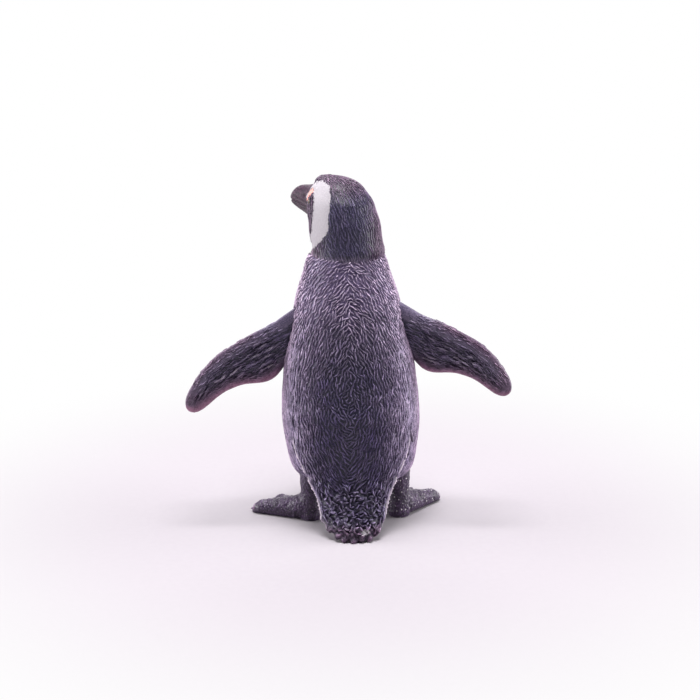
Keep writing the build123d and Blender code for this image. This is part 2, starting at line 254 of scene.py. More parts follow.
# %% Feathered vinyl
def feathered_vinyl(name):
    """Satin dark vinyl with painted highlight on the strokes' crests and painted shade in their
    furrows, white and pink paint, and a fine grain.
    """
    material, tree, shader, where = new_material(name)
    grain = noise(tree, where, vinyl_grain, 3.0, 0.6)
    ridge = calc(tree, "POWER", carried(tree, "crest"), 2.0)
    blush = carried(tree, "blush")
    lift = stroke_lift(tree, where, ridge, grain)
    dark = dark_vinyl(tree, where, lift, blush)
    white = blend_paint(tree, lift, furrow_white, stroke_white)
    ragged = ramp(tree, noise(tree, where, ragged_clouds, 3.0, 0.7), 0.25, 0.75, -0.16, 0.16)
    white_share = border(tree, "white_reach", ragged)
    colour = blend_paint(tree, white_share, dark, white)
    pink_share = border(tree, "pink_reach", calc(tree, "MULTIPLY", ragged, 0.5), 0.07)
    colour = blend_paint(tree, pink_share, colour, pink_skin)
    colour = blend_paint(tree, stray_speck(tree, where), colour, stray_fleck)
    tree.links.new(colour, shader.inputs["Base Color"])
    rough = calc(tree, "SUBTRACT", furrow_roughness, calc(tree, "MULTIPLY", ridge, 0.2))
    rough = calc(tree, "ADD", rough, ramp(tree, grain, 0.3, 0.7, -0.07, 0.07))
    rough = calc(tree, "ADD", rough, calc(tree, "MULTIPLY", white_share, white_roughness))
    tree.links.new(rough, shader.inputs["Roughness"])
    shine = calc(tree, "SUBTRACT", 0.5, calc(tree, "MULTIPLY", blush, 0.42))
    tree.links.new(shine, shader.inputs["Specular IOR Level"])
    give_relief(tree, shader, grain, depth=0.08, strength=0.8)
    shader.inputs["Sheen Weight"].default_value = 0.06
    shader.inputs["Sheen Roughness"].default_value = 0.45
    shader.inputs["Sheen Tint"].default_value = (1.0, 0.86, 0.96, 1)
    return material


body_vinyl = feathered_vinyl("feathered_vinyl")
print("made", body_vinyl.name, "with", len(body_vinyl.node_tree.nodes), "nodes")

# %% [markdown]
# ## Scaly vinyl for the feet
# The legs are the same vinyl with a finely pebbled skin and creases across the toes. Some flecks
# of white paint strayed on them in the workshop, nearly all on the right foot. Two Voronoi
# textures suit both: the distance to a cell's edge gives pebbles, and the distance to its middle
# gives round dots.

# %% Paints of the scaly vinyl
# The pebble and bead tops are painted lighter and the gaps near black, as painted highlight and
# shade. The edge colour is a painted highlight on sharp edges.
gap_dark, scale_dark = paint(7, 3, 18), paint(108, 78, 124)
scale_edge_highlight, white_fleck = paint(158, 122, 158), paint(222, 216, 220)
pebble_cells, fleck_cells = 3.4, 1.5  # to a millimetre
foot_clouds, fleck_clouds, foot_grain = 0.45, 1.25, 6.0  # to a millimetre


# %% Scaly vinyl
def paint_flecks(tree, where):
    """1 on round paint flecks that gather in some places, and 0 elsewhere."""
    wires = {"Vector": where, "Scale": fleck_cells}
    dots = place(tree, "ShaderNodeTexVoronoi", wires, feature="F1").outputs["Distance"]
    crowd = ramp(tree, noise(tree, where, fleck_clouds, 1.0), 0.43, 0.47)
    flecks = calc(tree, "MULTIPLY", ramp(tree, dots, 0.2, 0.14), crowd)
    return calc(tree, "MULTIPLY", flecks, carried(tree, "flecked"))


def scaly_vinyl(name):
    """Dark vinyl with pebble scales and stray paint flecks. The pebble tops are painted lighter and
    their gaps near black, as painted highlight and shade.
    """
    material, tree, shader, where = new_material(name)
    crest, tone, edge_highlight = (carried(tree, number) for number in ("crest", "tone", "edge_highlight"))
    wires = {"Vector": where, "Scale": pebble_cells, "Randomness": 0.9}
    pebbles = place(tree, "ShaderNodeTexVoronoi", wires, feature="DISTANCE_TO_EDGE")
    pebble_top = ramp(tree, pebbles.outputs["Distance"], 0.0, 0.22, 0.2, 0.55)
    grain = noise(tree, where, foot_grain, 3.0, 0.6)
    uneven = ramp(tree, noise(tree, where, foot_clouds, 3.0), 0.3, 0.7, 0.25, 0.75)
    lift = calc(tree, "MULTIPLY", pebble_top, uneven)
    on_bead = calc(tree, "MULTIPLY", crest, ramp(tree, tone, 0, 1, 0.2, 0.4))
    lift = calc(tree, "ADD", lift, on_bead, clamp=True)
    dark = blend_paint(tree, lift, gap_dark, scale_dark)
    # Sharp edges and claw tips are painted lighter, a painted highlight.
    dark = blend_paint(tree, calc(tree, "MULTIPLY", edge_highlight, 0.55), dark, scale_edge_highlight)
    colour = blend_paint(tree, paint_flecks(tree, where), dark, white_fleck)
    tree.links.new(colour, shader.inputs["Base Color"])
    tree.links.new(ramp(tree, grain, 0.3, 0.7, 0.3, 0.46), shader.inputs["Roughness"])
    height = calc(tree, "ADD", pebble_top, calc(tree, "MULTIPLY", grain, 0.5))
    give_relief(tree, shader, height, depth=0.06, strength=0.7)
    return material


foot_vinyl = scaly_vinyl("scaly_vinyl")
print("made", foot_vinyl.name, "with", len(foot_vinyl.node_tree.nodes), "nodes")

# %% [markdown]
# ## Reading and moving points
# Sculpting in code means moving thousands of points by a rule. NumPy does that at once for all
# of them, so these helpers take a mesh's points out as rows of numbers and put them back.

# %% Points in and out
def points_of(mesh):
    """All the points of a mesh as rows of X, Y and Z."""
    rows = np.empty(len(mesh.vertices) * 3)
    mesh.vertices.foreach_get("co", rows)
    return rows.reshape(-1, 3)


def normals_of(mesh):
    """The outward direction at each point of a mesh."""
    rows = np.empty(len(mesh.vertices) * 3)
    mesh.vertices.foreach_get("normal", rows)
    return rows.reshape(-1, 3)


def move_points(mesh, points):
    """Puts every point of a mesh in a new place."""
    mesh.vertices.foreach_set("co", points.reshape(-1))
    mesh.update()


# %% Smoothing
def neighbours_mean(mesh, values):
    """The mean of each point's neighbours, for smoothing."""
    ends = np.empty(len(mesh.edges) * 2, int)
    mesh.edges.foreach_get("vertices", ends)
    near, far = ends.reshape(-1, 2).T
    total = np.zeros_like(values)
    np.add.at(total, near, values[far])
    np.add.at(total, far, values[near])
    count = np.bincount(ends, minlength=len(mesh.vertices)).astype(float)
    return total / count.reshape(-1, *([1] * (values.ndim - 1)))


def smooth_points(mesh, rounds):
    """Takes small steps out of a mesh. Each round shrinks it and grows it back to its volume."""
    points = points_of(mesh)
    for share in (0.6, -0.62) * rounds + (0.5, 0.5):
        points = points + share * (neighbours_mean(mesh, points) - points)
    move_points(mesh, points)


# %% [markdown]
# ## Evenly meshed skins
# A CAD mesh has long thin triangles, which can't be sculpted. A Remesh modifier lays an even
# grid of small faces over a merged copy of it, and a light smoothing takes the grid's steps
# out. Every carved form is then a small move of points along their normals. The grid is as fine
# as the details of a casting need, and coarser on the trunk, which is much the largest.

# %% Plain meshes
def merged_copy(node):
    """A copy of a casting's mesh in millimetres, with its loose triangles joined."""
    mesh = castings[node].data.copy()
    net = bmesh.new()
    net.from_mesh(mesh)
    bmesh.ops.scale(net, vec=(1 / mm, 1 / mm, 1 / mm), verts=net.verts)
    bmesh.ops.remove_doubles(net, verts=net.verts, dist=0.001)
    net.to_mesh(mesh)
    net.free()
    return mesh


def plain_mesh(piece, name):
    """What a piece's modifiers make of it, as a mesh with no modifiers."""
    evaluated = piece.evaluated_get(bpy.context.evaluated_depsgraph_get())
    mesh = bpy.data.meshes.new_from_object(evaluated)
    mesh.name = name
    return mesh


def put_in_scene(name, mesh):
    """A new object for a mesh."""
    piece = bpy.data.objects.new(name, mesh)
    scene.collection.objects.link(piece)
    return piece


def smooth_shaded(mesh):
    """Shades a mesh as one smooth surface."""
    mesh.polygons.foreach_set("use_smooth", [True] * len(mesh.polygons))


# %% Even skins
skin_grids = dict(
    trunk=0.22, head=0.14, left_flipper=0.15, right_flipper=0.15, tail=0.15,
    left_leg=0.14, right_leg=0.14,
)
print("the finest grid is", min(skin_grids.values()), "mm")


def even_skin(node):
    """A casting's surface as an even, smooth, closed mesh."""
    rough = put_in_scene("rough_" + node, merged_copy(node))
    lay = rough.modifiers.new("even grid", "REMESH")
    lay.mode = "VOXEL"
    lay.voxel_size = skin_grids[node]
    mesh = plain_mesh(rough, node + "_skin")
    bpy.data.objects.remove(rough)
    smooth_points(mesh, 3)
    mesh.materials.clear()
    smooth_shaded(mesh)
    print(node, "skin has", len(mesh.polygons), "faces")
    return mesh


# %% [markdown]
# ## What can be seen
# A limb's root is buried in its seat in the trunk, and strokes there would be wasted or poke
# through. A search tree over each casting tells whether a line outwards from a point runs into
# another casting.

# %% Search trees
merged = {node: merged_copy(node) for node in castings}
line_start, line_length, covering_gap = 0.06, 25, 0.3


def tree_of(mesh):
    """A search tree over a mesh's faces."""
    net = bmesh.new()
    net.from_mesh(mesh)
    tree = BVHTree.FromBMesh(net)
    net.free()
    return tree


search = {node: tree_of(mesh) for node, mesh in merged.items()}


def open_points(node, points, normals):
    """1 where a point of a casting can be seen, and 0 where another casting covers it.

    A line from the point along its normal meets a covering casting at once, or from inside."""
    others = [tree for name, tree in search.items() if name != node]
    seen = np.ones(len(points))
    for i, (point, normal) in enumerate(zip(points + normals * line_start, normals)):
        way = Vector(normal)
        for tree in others:
            hit, facing, _, gap = tree.ray_cast(point, way, line_length)
            if hit is not None and (facing.dot(way) > 0 or gap < covering_gap):
                seen[i] = 0
                break
    return seen


print("search trees:", len(search))

# %% [markdown]
# ## Numbers that a mesh carries
# Attributes are named numbers at each point. The stroke tree reads the way the feathers grow
# from them, and the materials read how high, pale and painted the surface is, and where its sharp
# edges take a painted highlight.

# %% Attributes
def store(mesh, name, values):
    """Gives a mesh a number, or a direction, at each of its points."""
    kind, key = ("FLOAT_VECTOR", "vector") if np.ndim(values) == 2 else ("FLOAT", "value")
    old = mesh.attributes.get(name)
    if old:
        mesh.attributes.remove(old)
    layer = mesh.attributes.new(name, kind, "POINT")
    layer.data.foreach_set(key, np.asarray(values, float).reshape(-1))


def stored(mesh, name):
    """The numbers that a mesh carries under a name."""
    values = np.empty(len(mesh.vertices))
    mesh.attributes[name].data.foreach_get("value", values)
    return values


# %% [markdown]
# ## Carving
# A real figure like this is carved in wax or clay before the mould is made. Each tool below does
# one thing that a sculptor does: soften a patch, cut or raise the surface or fill a hollow corner.
# The last marks sharp edges, which the materials paint lighter as a painted highlight.

# %% Soften, carve and fill
def soften(mesh, share, rounds):
    """Smooths a skin only where share is more than 0."""
    points = points_of(mesh)
    for _ in range(rounds):
        points = points + share[:, None] * (neighbours_mean(mesh, points) - points)
    move_points(mesh, points)


def carve(mesh, depth):
    """Moves each point along its normal by a depth in millimetres."""
    move_points(mesh, points_of(mesh) + normals_of(mesh) * depth[:, None])


def fill_hollows(mesh, rounds):
    """Rounds the hollow corners of a skin, and leaves its outward ones as they are."""
    points = points_of(mesh)
    for i in range(rounds):
        if i % 10 == 0:
            move_points(mesh, points)
            normals = normals_of(mesh)
        rise = np.einsum("ij,ij->i", neighbours_mean(mesh, points) - points, normals)
        points = points + normals * (0.9 * np.clip(rise, 0, None))[:, None]
    move_points(mesh, points)


# %% Seams and edges
def smooth_faced(mesh, normals, rounds=6):
    """1 where a skin is smooth, and 0 on its sharp edges."""
    mean = normals
    for _ in range(rounds):
        mean = neighbours_mean(mesh, mean)
    mean = mean / (np.linalg.norm(mean, axis=1)[:, None] + 1e-9)
    return smoothstep(np.einsum("ij,ij->i", mean, normals), 0.86, 0.94)


def close_seam(mesh, seam_height, way, reach=0.45):
    """Draws a skin's edge at a level seam on under its neighbour, so no gap shows between them."""
    points = points_of(mesh)
    share = smoothstep(np.abs(points[:, 2] - seam_height), 0.7, 0.15)
    move_points(mesh, points + share[:, None] * reach * np.array(way))


def store_edge_highlight(mesh, low=0.02, high=0.1, rounds=3, share=1.0):
    """Marks the sharp outer edges of a skin, which the materials paint lighter as a painted
    highlight.
    """
    points, normals = points_of(mesh), normals_of(mesh)
    rise = np.einsum("ij,ij->i", points - neighbours_mean(mesh, points), normals)
    for _ in range(rounds):
        rise = neighbours_mean(mesh, rise)
    store(mesh, "edge_highlight", share * smoothstep(rise, low, high))
    print("edges rise by up to", round(float(rise.max()), 3), "mm")


# %% [markdown]
# ## The feather stroke
# A sculptor cuts each feather as one short tapering ridge. It is built once, from a few rings
# joined into a closed sliver whose underside will sit inside the skin, and repeated thousands of
# times, so it has only a few dozen faces. Its crest is marked so that the material paints it
# lighter, as dry brushing and a painted highlight.

# %% Stroke shape
def sliver(name, stations, cross):
    """A closed sliver one unit long. A station is how far along, half width and height."""
    net = bmesh.new()
    rings = []
    for along, wide, high in stations:
        rings.append([net.verts.new((along, wide * across, high * up)) for across, up in cross])
    first = net.verts.new((stations[0][0] - 0.05, 0, 0))
    last = net.verts.new((stations[-1][0] + 0.07, 0, 0))
    count = len(cross)
    for i in range(count):
        j = (i + 1) % count
        net.faces.new((first, rings[0][j], rings[0][i]))
        net.faces.new((last, rings[-1][i], rings[-1][j]))
        for near, far in zip(rings, rings[1:]):
            net.faces.new((near[i], near[j], far[j], far[i]))
    bmesh.ops.recalc_face_normals(net, faces=net.faces)
    mesh = bpy.data.meshes.new(name)
    net.to_mesh(mesh)
    net.free()
    smooth_shaded(mesh)
    store(mesh, "crest", np.clip(points_of(mesh)[:, 2], 0, 1))
    print(name, "has", len(mesh.polygons), "faces")
    return put_in_scene(name, mesh)


ridge_cross = ((-1, -0.9), (-0.55, 0.55), (0, 1), (0.55, 0.55), (1, -0.9))
feather_stroke = sliver(
    "feather_stroke",
    ((-0.45, 0.5, 0.5), (-0.22, 0.95, 0.9), (0.02, 1, 1), (0.26, 0.9, 0.95), (0.44, 0.45, 0.65)),
    ridge_cross,
)

# %% [markdown]
# ## Laying strokes with Geometry Nodes
# Geometry Nodes scatter points over the skin no closer than a set spacing, turn one stroke at
# each point to lie along the way the feathers grow, and give each its own length, width and
# tone. A soft noise then bends neighbouring strokes together, which gives the wavy combed look.
# The tree ends by making the copies real and giving them their finish.

# %% Inputs of the stroke tree
stroke_density = 60  # tries to a square millimetre, more than the spacing ever lets through
stroke_inputs = (
    ("Stroke", "NodeSocketObject"),
    ("Finish", "NodeSocketMaterial"),
    ("Spacing", "NodeSocketFloat"),
    ("Short", "NodeSocketFloat"),
    ("Long", "NodeSocketFloat"),
    ("Narrow", "NodeSocketFloat"),
    ("Wide", "NodeSocketFloat"),
    ("Height", "NodeSocketFloat"),
    ("Stray", "NodeSocketFloat"),
    ("Wave", "NodeSocketFloat"),
    ("Wave length", "NodeSocketFloat"),
    ("Seed", "NodeSocketInt"),
)
print("each layer of strokes has", len(stroke_inputs), "settings")


# %% Recipes for geometry
def random_between(tree, given, low, high, stream):
    """A random number for each point. Each stream of numbers has a seed of its own."""
    seed = calc(tree, "ADD", given["Seed"], float(stream))
    return place(tree, "FunctionNodeRandomValue", {2: low, 3: high, "Seed": seed}).outputs[1]


def read_from_mesh(tree, name, kind="FLOAT"):
    """A number or a direction that the mesh carries at each of its points."""
    reader = place(tree, "GeometryNodeInputNamedAttribute", {"Name": name}, data_type=kind)
    return reader.outputs["Attribute"]


def save_on_mesh(tree, geometry, name, value, kind, domain):
    """Stores a number or a direction on a geometry's points or copies."""
    wires = {"Geometry": geometry, "Name": name, "Value": value}
    node = place(tree, "GeometryNodeStoreNamedAttribute", wires, data_type=kind, domain=domain)
    return node.outputs[0]


def vector_step(tree, operation, first, second):
    """One sum, product or other step between two directions."""
    wires = {0: first, "Scale" if operation == "SCALE" else 1: second}
    return place(tree, "ShaderNodeVectorMath", wires, operation=operation).outputs


# %% Points and their turn
def scattered_points(tree, given):
    """Points over the skin, each with the way out of the surface stored on it."""
    wires = {
        "Mesh": given["Geometry"],
        "Distance Min": given["Spacing"],
        "Density Max": stroke_density,
        "Density Factor": read_from_mesh(tree, "cover"),
        "Seed": given["Seed"],
    }
    method = dict(distribute_method="POISSON")
    found = place(tree, "GeometryNodeDistributePointsOnFaces", wires, **method).outputs
    return save_on_mesh(tree, found["Points"], "outward", found["Normal"], "FLOAT_VECTOR", "POINT")


def combed_rotation(tree, given):
    """Stands each stroke on the skin, turns it along the flow, and lets it stray a little."""
    align = "FunctionNodeAlignRotationToVector"
    outward = read_from_mesh(tree, "outward", "FLOAT_VECTOR")
    stand = place(tree, align, {"Vector": outward}, axis="Z")
    flow = read_from_mesh(tree, "flow", "FLOAT_VECTOR")
    wires = {"Rotation": stand.outputs[0], "Vector": flow}
    comb = place(tree, align, wires, axis="X", pivot_axis="Z")
    stray = given["Stray"]
    aside = random_between(tree, given, calc(tree, "MULTIPLY", stray, -1.0), stray, 1)
    twist = place(tree, "ShaderNodeCombineXYZ", {"Z": aside})
    wires = {0: comb.outputs[0], 1: twist.outputs[0]}
    return place(tree, "FunctionNodeRotateRotation", wires, rotation_space="LOCAL").outputs[0]


# %% Size and waving
def stroke_size(tree, given):
    """A length and a width of its own for each stroke."""
    length = random_between(tree, given, given["Short"], given["Long"], 2)
    length = calc(tree, "MULTIPLY", length, read_from_mesh(tree, "stretch"))
    width = random_between(tree, given, given["Narrow"], given["Wide"], 3)
    wires = {"X": length, "Y": width, "Z": given["Height"]}
    return place(tree, "ShaderNodeCombineXYZ", wires).outputs[0]


def waving(tree, given):
    """How far soft clouds push each point along the skin, so that strokes bend together."""
    where = place(tree, "GeometryNodeInputPosition").outputs[0]
    waves = calc(tree, "DIVIDE", 1.0, given["Wave length"])
    wires = {"Vector": where, "Scale": waves, "Detail": 1.0}
    clouds = place(tree, "ShaderNodeTexNoise", wires).outputs["Color"]
    outward = read_from_mesh(tree, "outward", "FLOAT_VECTOR")
    push = vector_step(tree, "SUBTRACT", clouds, (0.5, 0.5, 0.5))[0]
    rise = vector_step(tree, "DOT_PRODUCT", push, outward)["Value"]
    raised = vector_step(tree, "SCALE", outward, rise)[0]
    along = vector_step(tree, "SUBTRACT", push, raised)[0]
    return vector_step(tree, "SCALE", along, given["Wave"])[0]


# %% Stroke tree
def build_stroke_tree():
    """The node tree that lays strokes over a skin, and the identifier of each input."""
    tree = bpy.data.node_groups.new("lay strokes", "GeometryNodeTree")
    sockets = tree.interface
    sockets.new_socket("Geometry", in_out="INPUT", socket_type="NodeSocketGeometry")
    keys = {
        name: sockets.new_socket(name, in_out="INPUT", socket_type=kind).identifier
        for name, kind in stroke_inputs
    }
    sockets.new_socket("Geometry", in_out="OUTPUT", socket_type="NodeSocketGeometry")
    given = place(tree, "NodeGroupInput").outputs
    model = place(tree, "GeometryNodeObjectInfo", {"Object": given["Stroke"]})
    wires = {
        "Points": scattered_points(tree, given),
        "Instance": model.outputs["Geometry"],
        "Rotation": combed_rotation(tree, given),
        "Scale": stroke_size(tree, given),
    }
    copies = place(tree, "GeometryNodeInstanceOnPoints", wires).outputs[0]
    tone = random_between(tree, given, 0.0, 1.0, 4)
    toned = save_on_mesh(tree, copies, "tone", tone, "FLOAT", "INSTANCE")
    real = place(tree, "GeometryNodeRealizeInstances", {"Geometry": toned}).outputs[0]
    wires = {"Geometry": real, "Offset": waving(tree, given)}
    waved = place(tree, "GeometryNodeSetPosition", wires).outputs[0]
    wires = {"Geometry": waved, "Material": given["Finish"]}
    finished = place(tree, "GeometryNodeSetMaterial", wires).outputs[0]
    tree.links.new(finished, place(tree, "NodeGroupOutput").inputs[0])
    return tree, keys


stroke_tree, stroke_keys = build_stroke_tree()
print("the stroke tree has", len(stroke_tree.nodes), "nodes and", len(stroke_keys), "inputs")


# %% Laying strokes
def lay_strokes(skin, name, **settings):
    """Runs the tree over a skin and returns the strokes as one plain mesh."""
    bed = put_in_scene("bed_" + name, skin.copy())
    if not skin.attributes.get("stretch"):
        store(bed.data, "stretch", np.ones(len(skin.vertices)))
    layer = bed.modifiers.new("strokes", "NODES")
    layer.node_group = stroke_tree
    for label, value in settings.items():
        layer[stroke_keys[label.replace("_", " ")]] = value
    mesh = plain_mesh(bed, name)
    bpy.data.objects.remove(bed)
    triangles = sum(len(face.vertices) - 2 for face in mesh.polygons)
    print(name, "has", len(mesh.polygons), "faces,", triangles, "triangles")
    return mesh


# %% [markdown]
# ## Handing a piece over
# A finished piece is turned from millimetres into metres, rides on the one body of this rigid
# figure, takes the place of its casting and takes the finish it is given.

# %% Hand over
def hand_over(name, mesh, material, node):
    """Puts a finished mesh in the scene in place of its casting."""
    move_points(mesh, points_of(mesh) * mm)
    mesh.materials.clear()
    mesh.materials.append(material)
    piece = put_in_scene(name, mesh)
    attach(piece, "root")
    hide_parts(node)
    print(name, "stands in for", node)


# %% [markdown]
# ## Paint borders
# Each painted patch is drawn as an outline on a flat map of the surface, such as the side of the
# head. The distance of every point from that outline, more than zero inside, is what the
# material reads.

# %% Outline distance
def reach_inside(flat_points, outline):
    """How far inside a closed outline each flat point lies, and less than zero outside."""
    corners = np.array(outline, float)
    nexts = np.roll(corners, -1, 0)
    best = np.full(len(flat_points), 1e9)
    inside = np.zeros(len(flat_points), bool)
    for start, end in zip(corners, nexts):
        run = end - start
        share = np.clip(((flat_points - start) @ run) / (run @ run), 0, 1)
        gap = np.linalg.norm(flat_points - (start + share[:, None] * run), axis=1)
        best = np.minimum(best, gap)
        crosses = (start[1] > flat_points[:, 1]) != (end[1] > flat_points[:, 1])
        slope = run[0] / run[1] if run[1] else 0
        left_of = flat_points[:, 0] < start[0] + (flat_points[:, 1] - start[1]) * slope
        inside ^= crosses & left_of
    return np.where(inside, best, -best)


# %% [markdown]
# ## The trunk
# Seen from behind, the carved strokes of the back form a tall pointed lens: they fall away from
# the spine above it, run upright down the flanks and meet again below. One formula gives that
# whole pattern: the strokes follow the level lines of a rounded diamond that is much taller than
# it is wide. The breast, which the photograph doesn't show, has plain downward strokes.

# %% Trunk map
trunk_axis = np.array((-0.21, -1.559))
trunk_round = 10.5
neck_seam_height = 45.3
head_turn = math.radians(50)
swirl_height = 23.7
swirl_power = 1.5
whorl_radius = 5.0
print("the back's pattern turns at", swirl_height, "mm up")


def trunk_map(points):
    """How far round the back each point is, in mm from the spine, and its height."""
    sideways, behind = points[:, 0] - trunk_axis[0], points[:, 1] - trunk_axis[1]
    return np.arctan2(sideways, behind) * trunk_round, points[:, 2]


def along_surface(directions, normals):
    """Directions laid flat on the surface, each one unit long."""
    flat = directions - normals * np.einsum("ij,ij->i", directions, normals)[:, None]
    return flat / (np.linalg.norm(flat, axis=1)[:, None] + 1e-9)


def near_whorl(points):
    """1 at the middle of the back's pattern, where the strokes are short and broken."""
    around, height = trunk_map(points)
    return bump_at(np.hypot(around, (height - swirl_height + 1) / 1.5), whorl_radius)


# %% Trunk flow
def trunk_flow(points, normals):
    """The way the trunk's feathers point."""
    around, height = trunk_map(points)
    around = around + 0.9 * clouds_at(points, 2.6, 3.0)
    rise = height - swirl_height + 1.2 * clouds_at(points, 3.4, 7.0)
    stretch = 0.42 + 0.18 * smoothstep(rise, 6, 14)
    across = np.sign(around) * np.abs(around) ** (swirl_power - 1)
    upward = np.sign(rise) * np.abs(rise * stretch) ** (swirl_power - 1) * stretch
    calm = 1 - smoothstep(np.abs(around), 13, 19)
    upright = along_surface(np.tile((0.0, 0.0, 1.0), (len(points), 1)), normals)
    sideways, behind = points[:, 0] - trunk_axis[0], points[:, 1] - trunk_axis[1]
    spineward = np.stack([behind, -sideways, 0 * around], 1)
    spineward = along_surface(spineward * -np.sign(around)[:, None], normals)
    steep = np.abs(across) + 0.1 + 0.9 * smoothstep(rise, 0, 5)
    flow = -upright * steep[:, None] - spineward * (upward * calm)[:, None]
    flow = along_surface(flow, normals)
    by_spine = 0.22 * smoothstep(np.abs(around), 7, 3) * smoothstep(rise, 0, 6)
    broken = np.maximum(0.5 * near_whorl(points), by_spine)
    sway = (0.25 + broken) * clouds_at(points, 1.0, 11.0)
    return flow + np.cross(normals, flow) * (2.2 * sway)[:, None]


def trunk_stretch(points):
    """How long strokes are: broken in the whorl, long on the flanks, short at the neck."""
    around, height = trunk_map(points)
    on_flank = smoothstep(np.abs(around), 6, 11) * smoothstep(height, 34, 26)
    stretch = 1 - 0.45 * near_whorl(points) + 0.9 * on_flank
    return stretch * np.interp(height, (8, 12, 26, 36, 44.6), (0.7, 1, 1, 0.8, 0.6))


# %% [markdown]
# The breast is white with one dark band that arches over it and runs down both sides, as on the
# living bird, and a few dark spots. The photograph shows none of it, so this is the usual marking
# of the species. The white joins the head's white band round the front of the turned neck.

# %% Trunk paint
breast_round = 11
arch_height, arch_half_width = 26.5, 8.3
spot_ranges = ((-6, 6), (13, 31), (0.3, 0.55))  # aside, up and radius
breast_spots = [tuple(chance.uniform(*ends) for ends in spot_ranges) for _ in range(9)]
print("the breast has", len(breast_spots), "spots")


def trunk_white(points):
    """How far inside the white paint each point of the trunk lies, in millimetres."""
    height = points[:, 2]
    turn = head_turn * smoothstep(height, 36, neck_seam_height)
    ahead = np.arctan2(points[:, 0] - trunk_axis[0], -(points[:, 1] - trunk_axis[1])) - turn
    ahead = (ahead + np.pi) % (2 * np.pi) - np.pi
    aside = np.abs(np.degrees(ahead))
    edge = np.interp(height, (4, 9, 20, 34, 38, 42, 45.3), (30, 52, 64, 66, 62, 50, 42))
    white = (edge - aside) * np.radians(1) * trunk_round
    over = np.maximum(height - arch_height, 0)
    off_arch = np.hypot(np.abs(ahead) * breast_round, over) - arch_half_width
    band_half = np.interp(height, (7, 12, 30, 36), (0.5, 1.1, 1.35, 1.6))
    white = np.minimum(white, np.abs(off_arch) - band_half)
    for aside, up, radius in breast_spots:
        white = np.minimum(white, np.hypot(ahead * breast_round - aside, height - up) - radius)
    return white


# %% [markdown]
# The back feathers end in a panel that stands proud of the thighs and runs down into the tail.
# Its two edges are thin raised rims that catch the light, with a furrow outside them, and the
# rims are painted lighter as a painted highlight. They are cut along the lines where the castings
# have the panel's edges, and no stroke crosses them.

# %% Panel edges
panel_heights = (18.5, 16.3, 13.5, 11.5, 9.66, 7.3, 5.5, 3.0, 0.0)
panel_half_widths = (9.85, 9.95, 9.3, 8.5, 7.6, 6.4, 5.75, 5.2, 4.8)
panel_backs = (3.74, 4.14, 5.54, 6.34, 7.04, 7.94, 8.74, 9.94, 11.64)
panel_top = panel_heights[0]
rim_height, rim_width = 0.36, 0.24
furrow_depth, furrow_off, furrow_width = 0.24, 0.75, 0.4
far_off = 9.0  # stands for any distance too large to matter


def spine_at(height):
    """How far aside of the trunk's axis its middle lies, because the bird leans a little."""
    return 1.3 * (height / neck_seam_height - 0.5) - 0.279


def panel_at(height, row):
    """One of the panel's measures at a height."""
    return np.interp(height, panel_heights[::-1], row[::-1])


def panel_edge(side, step=0.3):
    """Close points along one edge of the panel, each laid on the nearest casting."""
    edge = []
    for height in np.arange(step, panel_top, step):
        aside = spine_at(height) + side * panel_at(height, panel_half_widths)
        point = Vector((aside, panel_at(height, panel_backs), height))
        found = [search[node].find_nearest(point) for node in ("trunk", "tail")]
        edge.append(min(found, key=lambda hit: hit[3])[0])
    return np.array(edge)


panel_edges = [panel_edge(side) for side in (1, -1)]
print("the panel's edges have", [len(edge) for edge in panel_edges], "points")


# %% Panel rims
def off_panel_edge(points):
    """How far each point is from the nearer edge of the back's panel."""
    best = np.full(len(points), far_off)
    near = np.abs(points[:, 0]) > 3.5
    for edge in panel_edges:
        for start, run in zip(edge, np.diff(edge, axis=0)):
            share = np.clip(((points[near] - start) @ run) / (run @ run), 0, 1)
            gap = np.linalg.norm(points[near] - (start + share[:, None] * run), axis=1)
            best[near] = np.minimum(best[near], gap)
    return best


def add_rim(mesh):
    """Raises the panel's edge and marks it for a painted highlight. Returns how near the edge each
    point is.
    """
    points = points_of(mesh)
    off = off_panel_edge(points)
    height, rim = points[:, 2], bump_at(off, rim_width)
    fade = smoothstep(height, 18, 12) * (0.25 + 0.75 * smoothstep(height, 2, 5))
    past_edge = np.abs(points[:, 0] - spine_at(height)) - panel_at(height, panel_half_widths)
    furrow = smoothstep(past_edge, -0.1, 0.2) * bump_at(off - furrow_off, furrow_width)
    carve(mesh, (rim_height * rim - furrow_depth * furrow) * fade)
    store_edge_highlight(mesh)
    edge_highlight = stored(mesh, "edge_highlight") * (0.4 + 0.6 * fade)
    store(mesh, "edge_highlight", np.maximum(edge_highlight, 1.7 * rim * fade))
    return np.where(fade > 0.2, off, far_off)


# %% [markdown]
# Dry brushing is a modeller's trick: a nearly dry brush leaves pale paint only on what stands
# proud. Here the pale is partly dry brushing and partly a painted highlight of the top and side
# lamps: strongest on the shoulders, lighter on the flanks and missing low on the back.

# %% Dry brushing and painted highlight
pale_heights = (2, 8, 12, 24, 27, 31.6, 36.5, 40.5)
pale_shares = (0.2, 0.15, 0.0, 0.0, 0.1, 0.38, 0.7, 1.0)


def trunk_pale(points):
    """How pale each point of the trunk or tail is, as dry brushing and a painted highlight of the
    top
    and side lamps: most on the shoulders.
    """
    around, height = trunk_map(points)
    above = np.interp(height, pale_heights, pale_shares)
    # The flanks' share is a painted highlight where the side lamps fall.
    sides = 0.48 * smoothstep(np.abs(around), 1.5, 8.0) * smoothstep(np.abs(around), 23, 17)
    return np.maximum(above, sides) + 0.35 * np.minimum(above, sides)


def trunk_blush(points):
    """Where the trunk and tail are tinted reddish: far round the sides, a painted glow where the
    side lamps fall, and low on the tail.
    """
    around, height = trunk_map(points)
    sides = 0.25 * smoothstep(np.abs(around), 10, 15) * smoothstep(np.abs(around), 22, 17)
    return np.maximum(sides, 0.5 * smoothstep(height, 3.5, 1.5) * (points[:, 1] > 4))


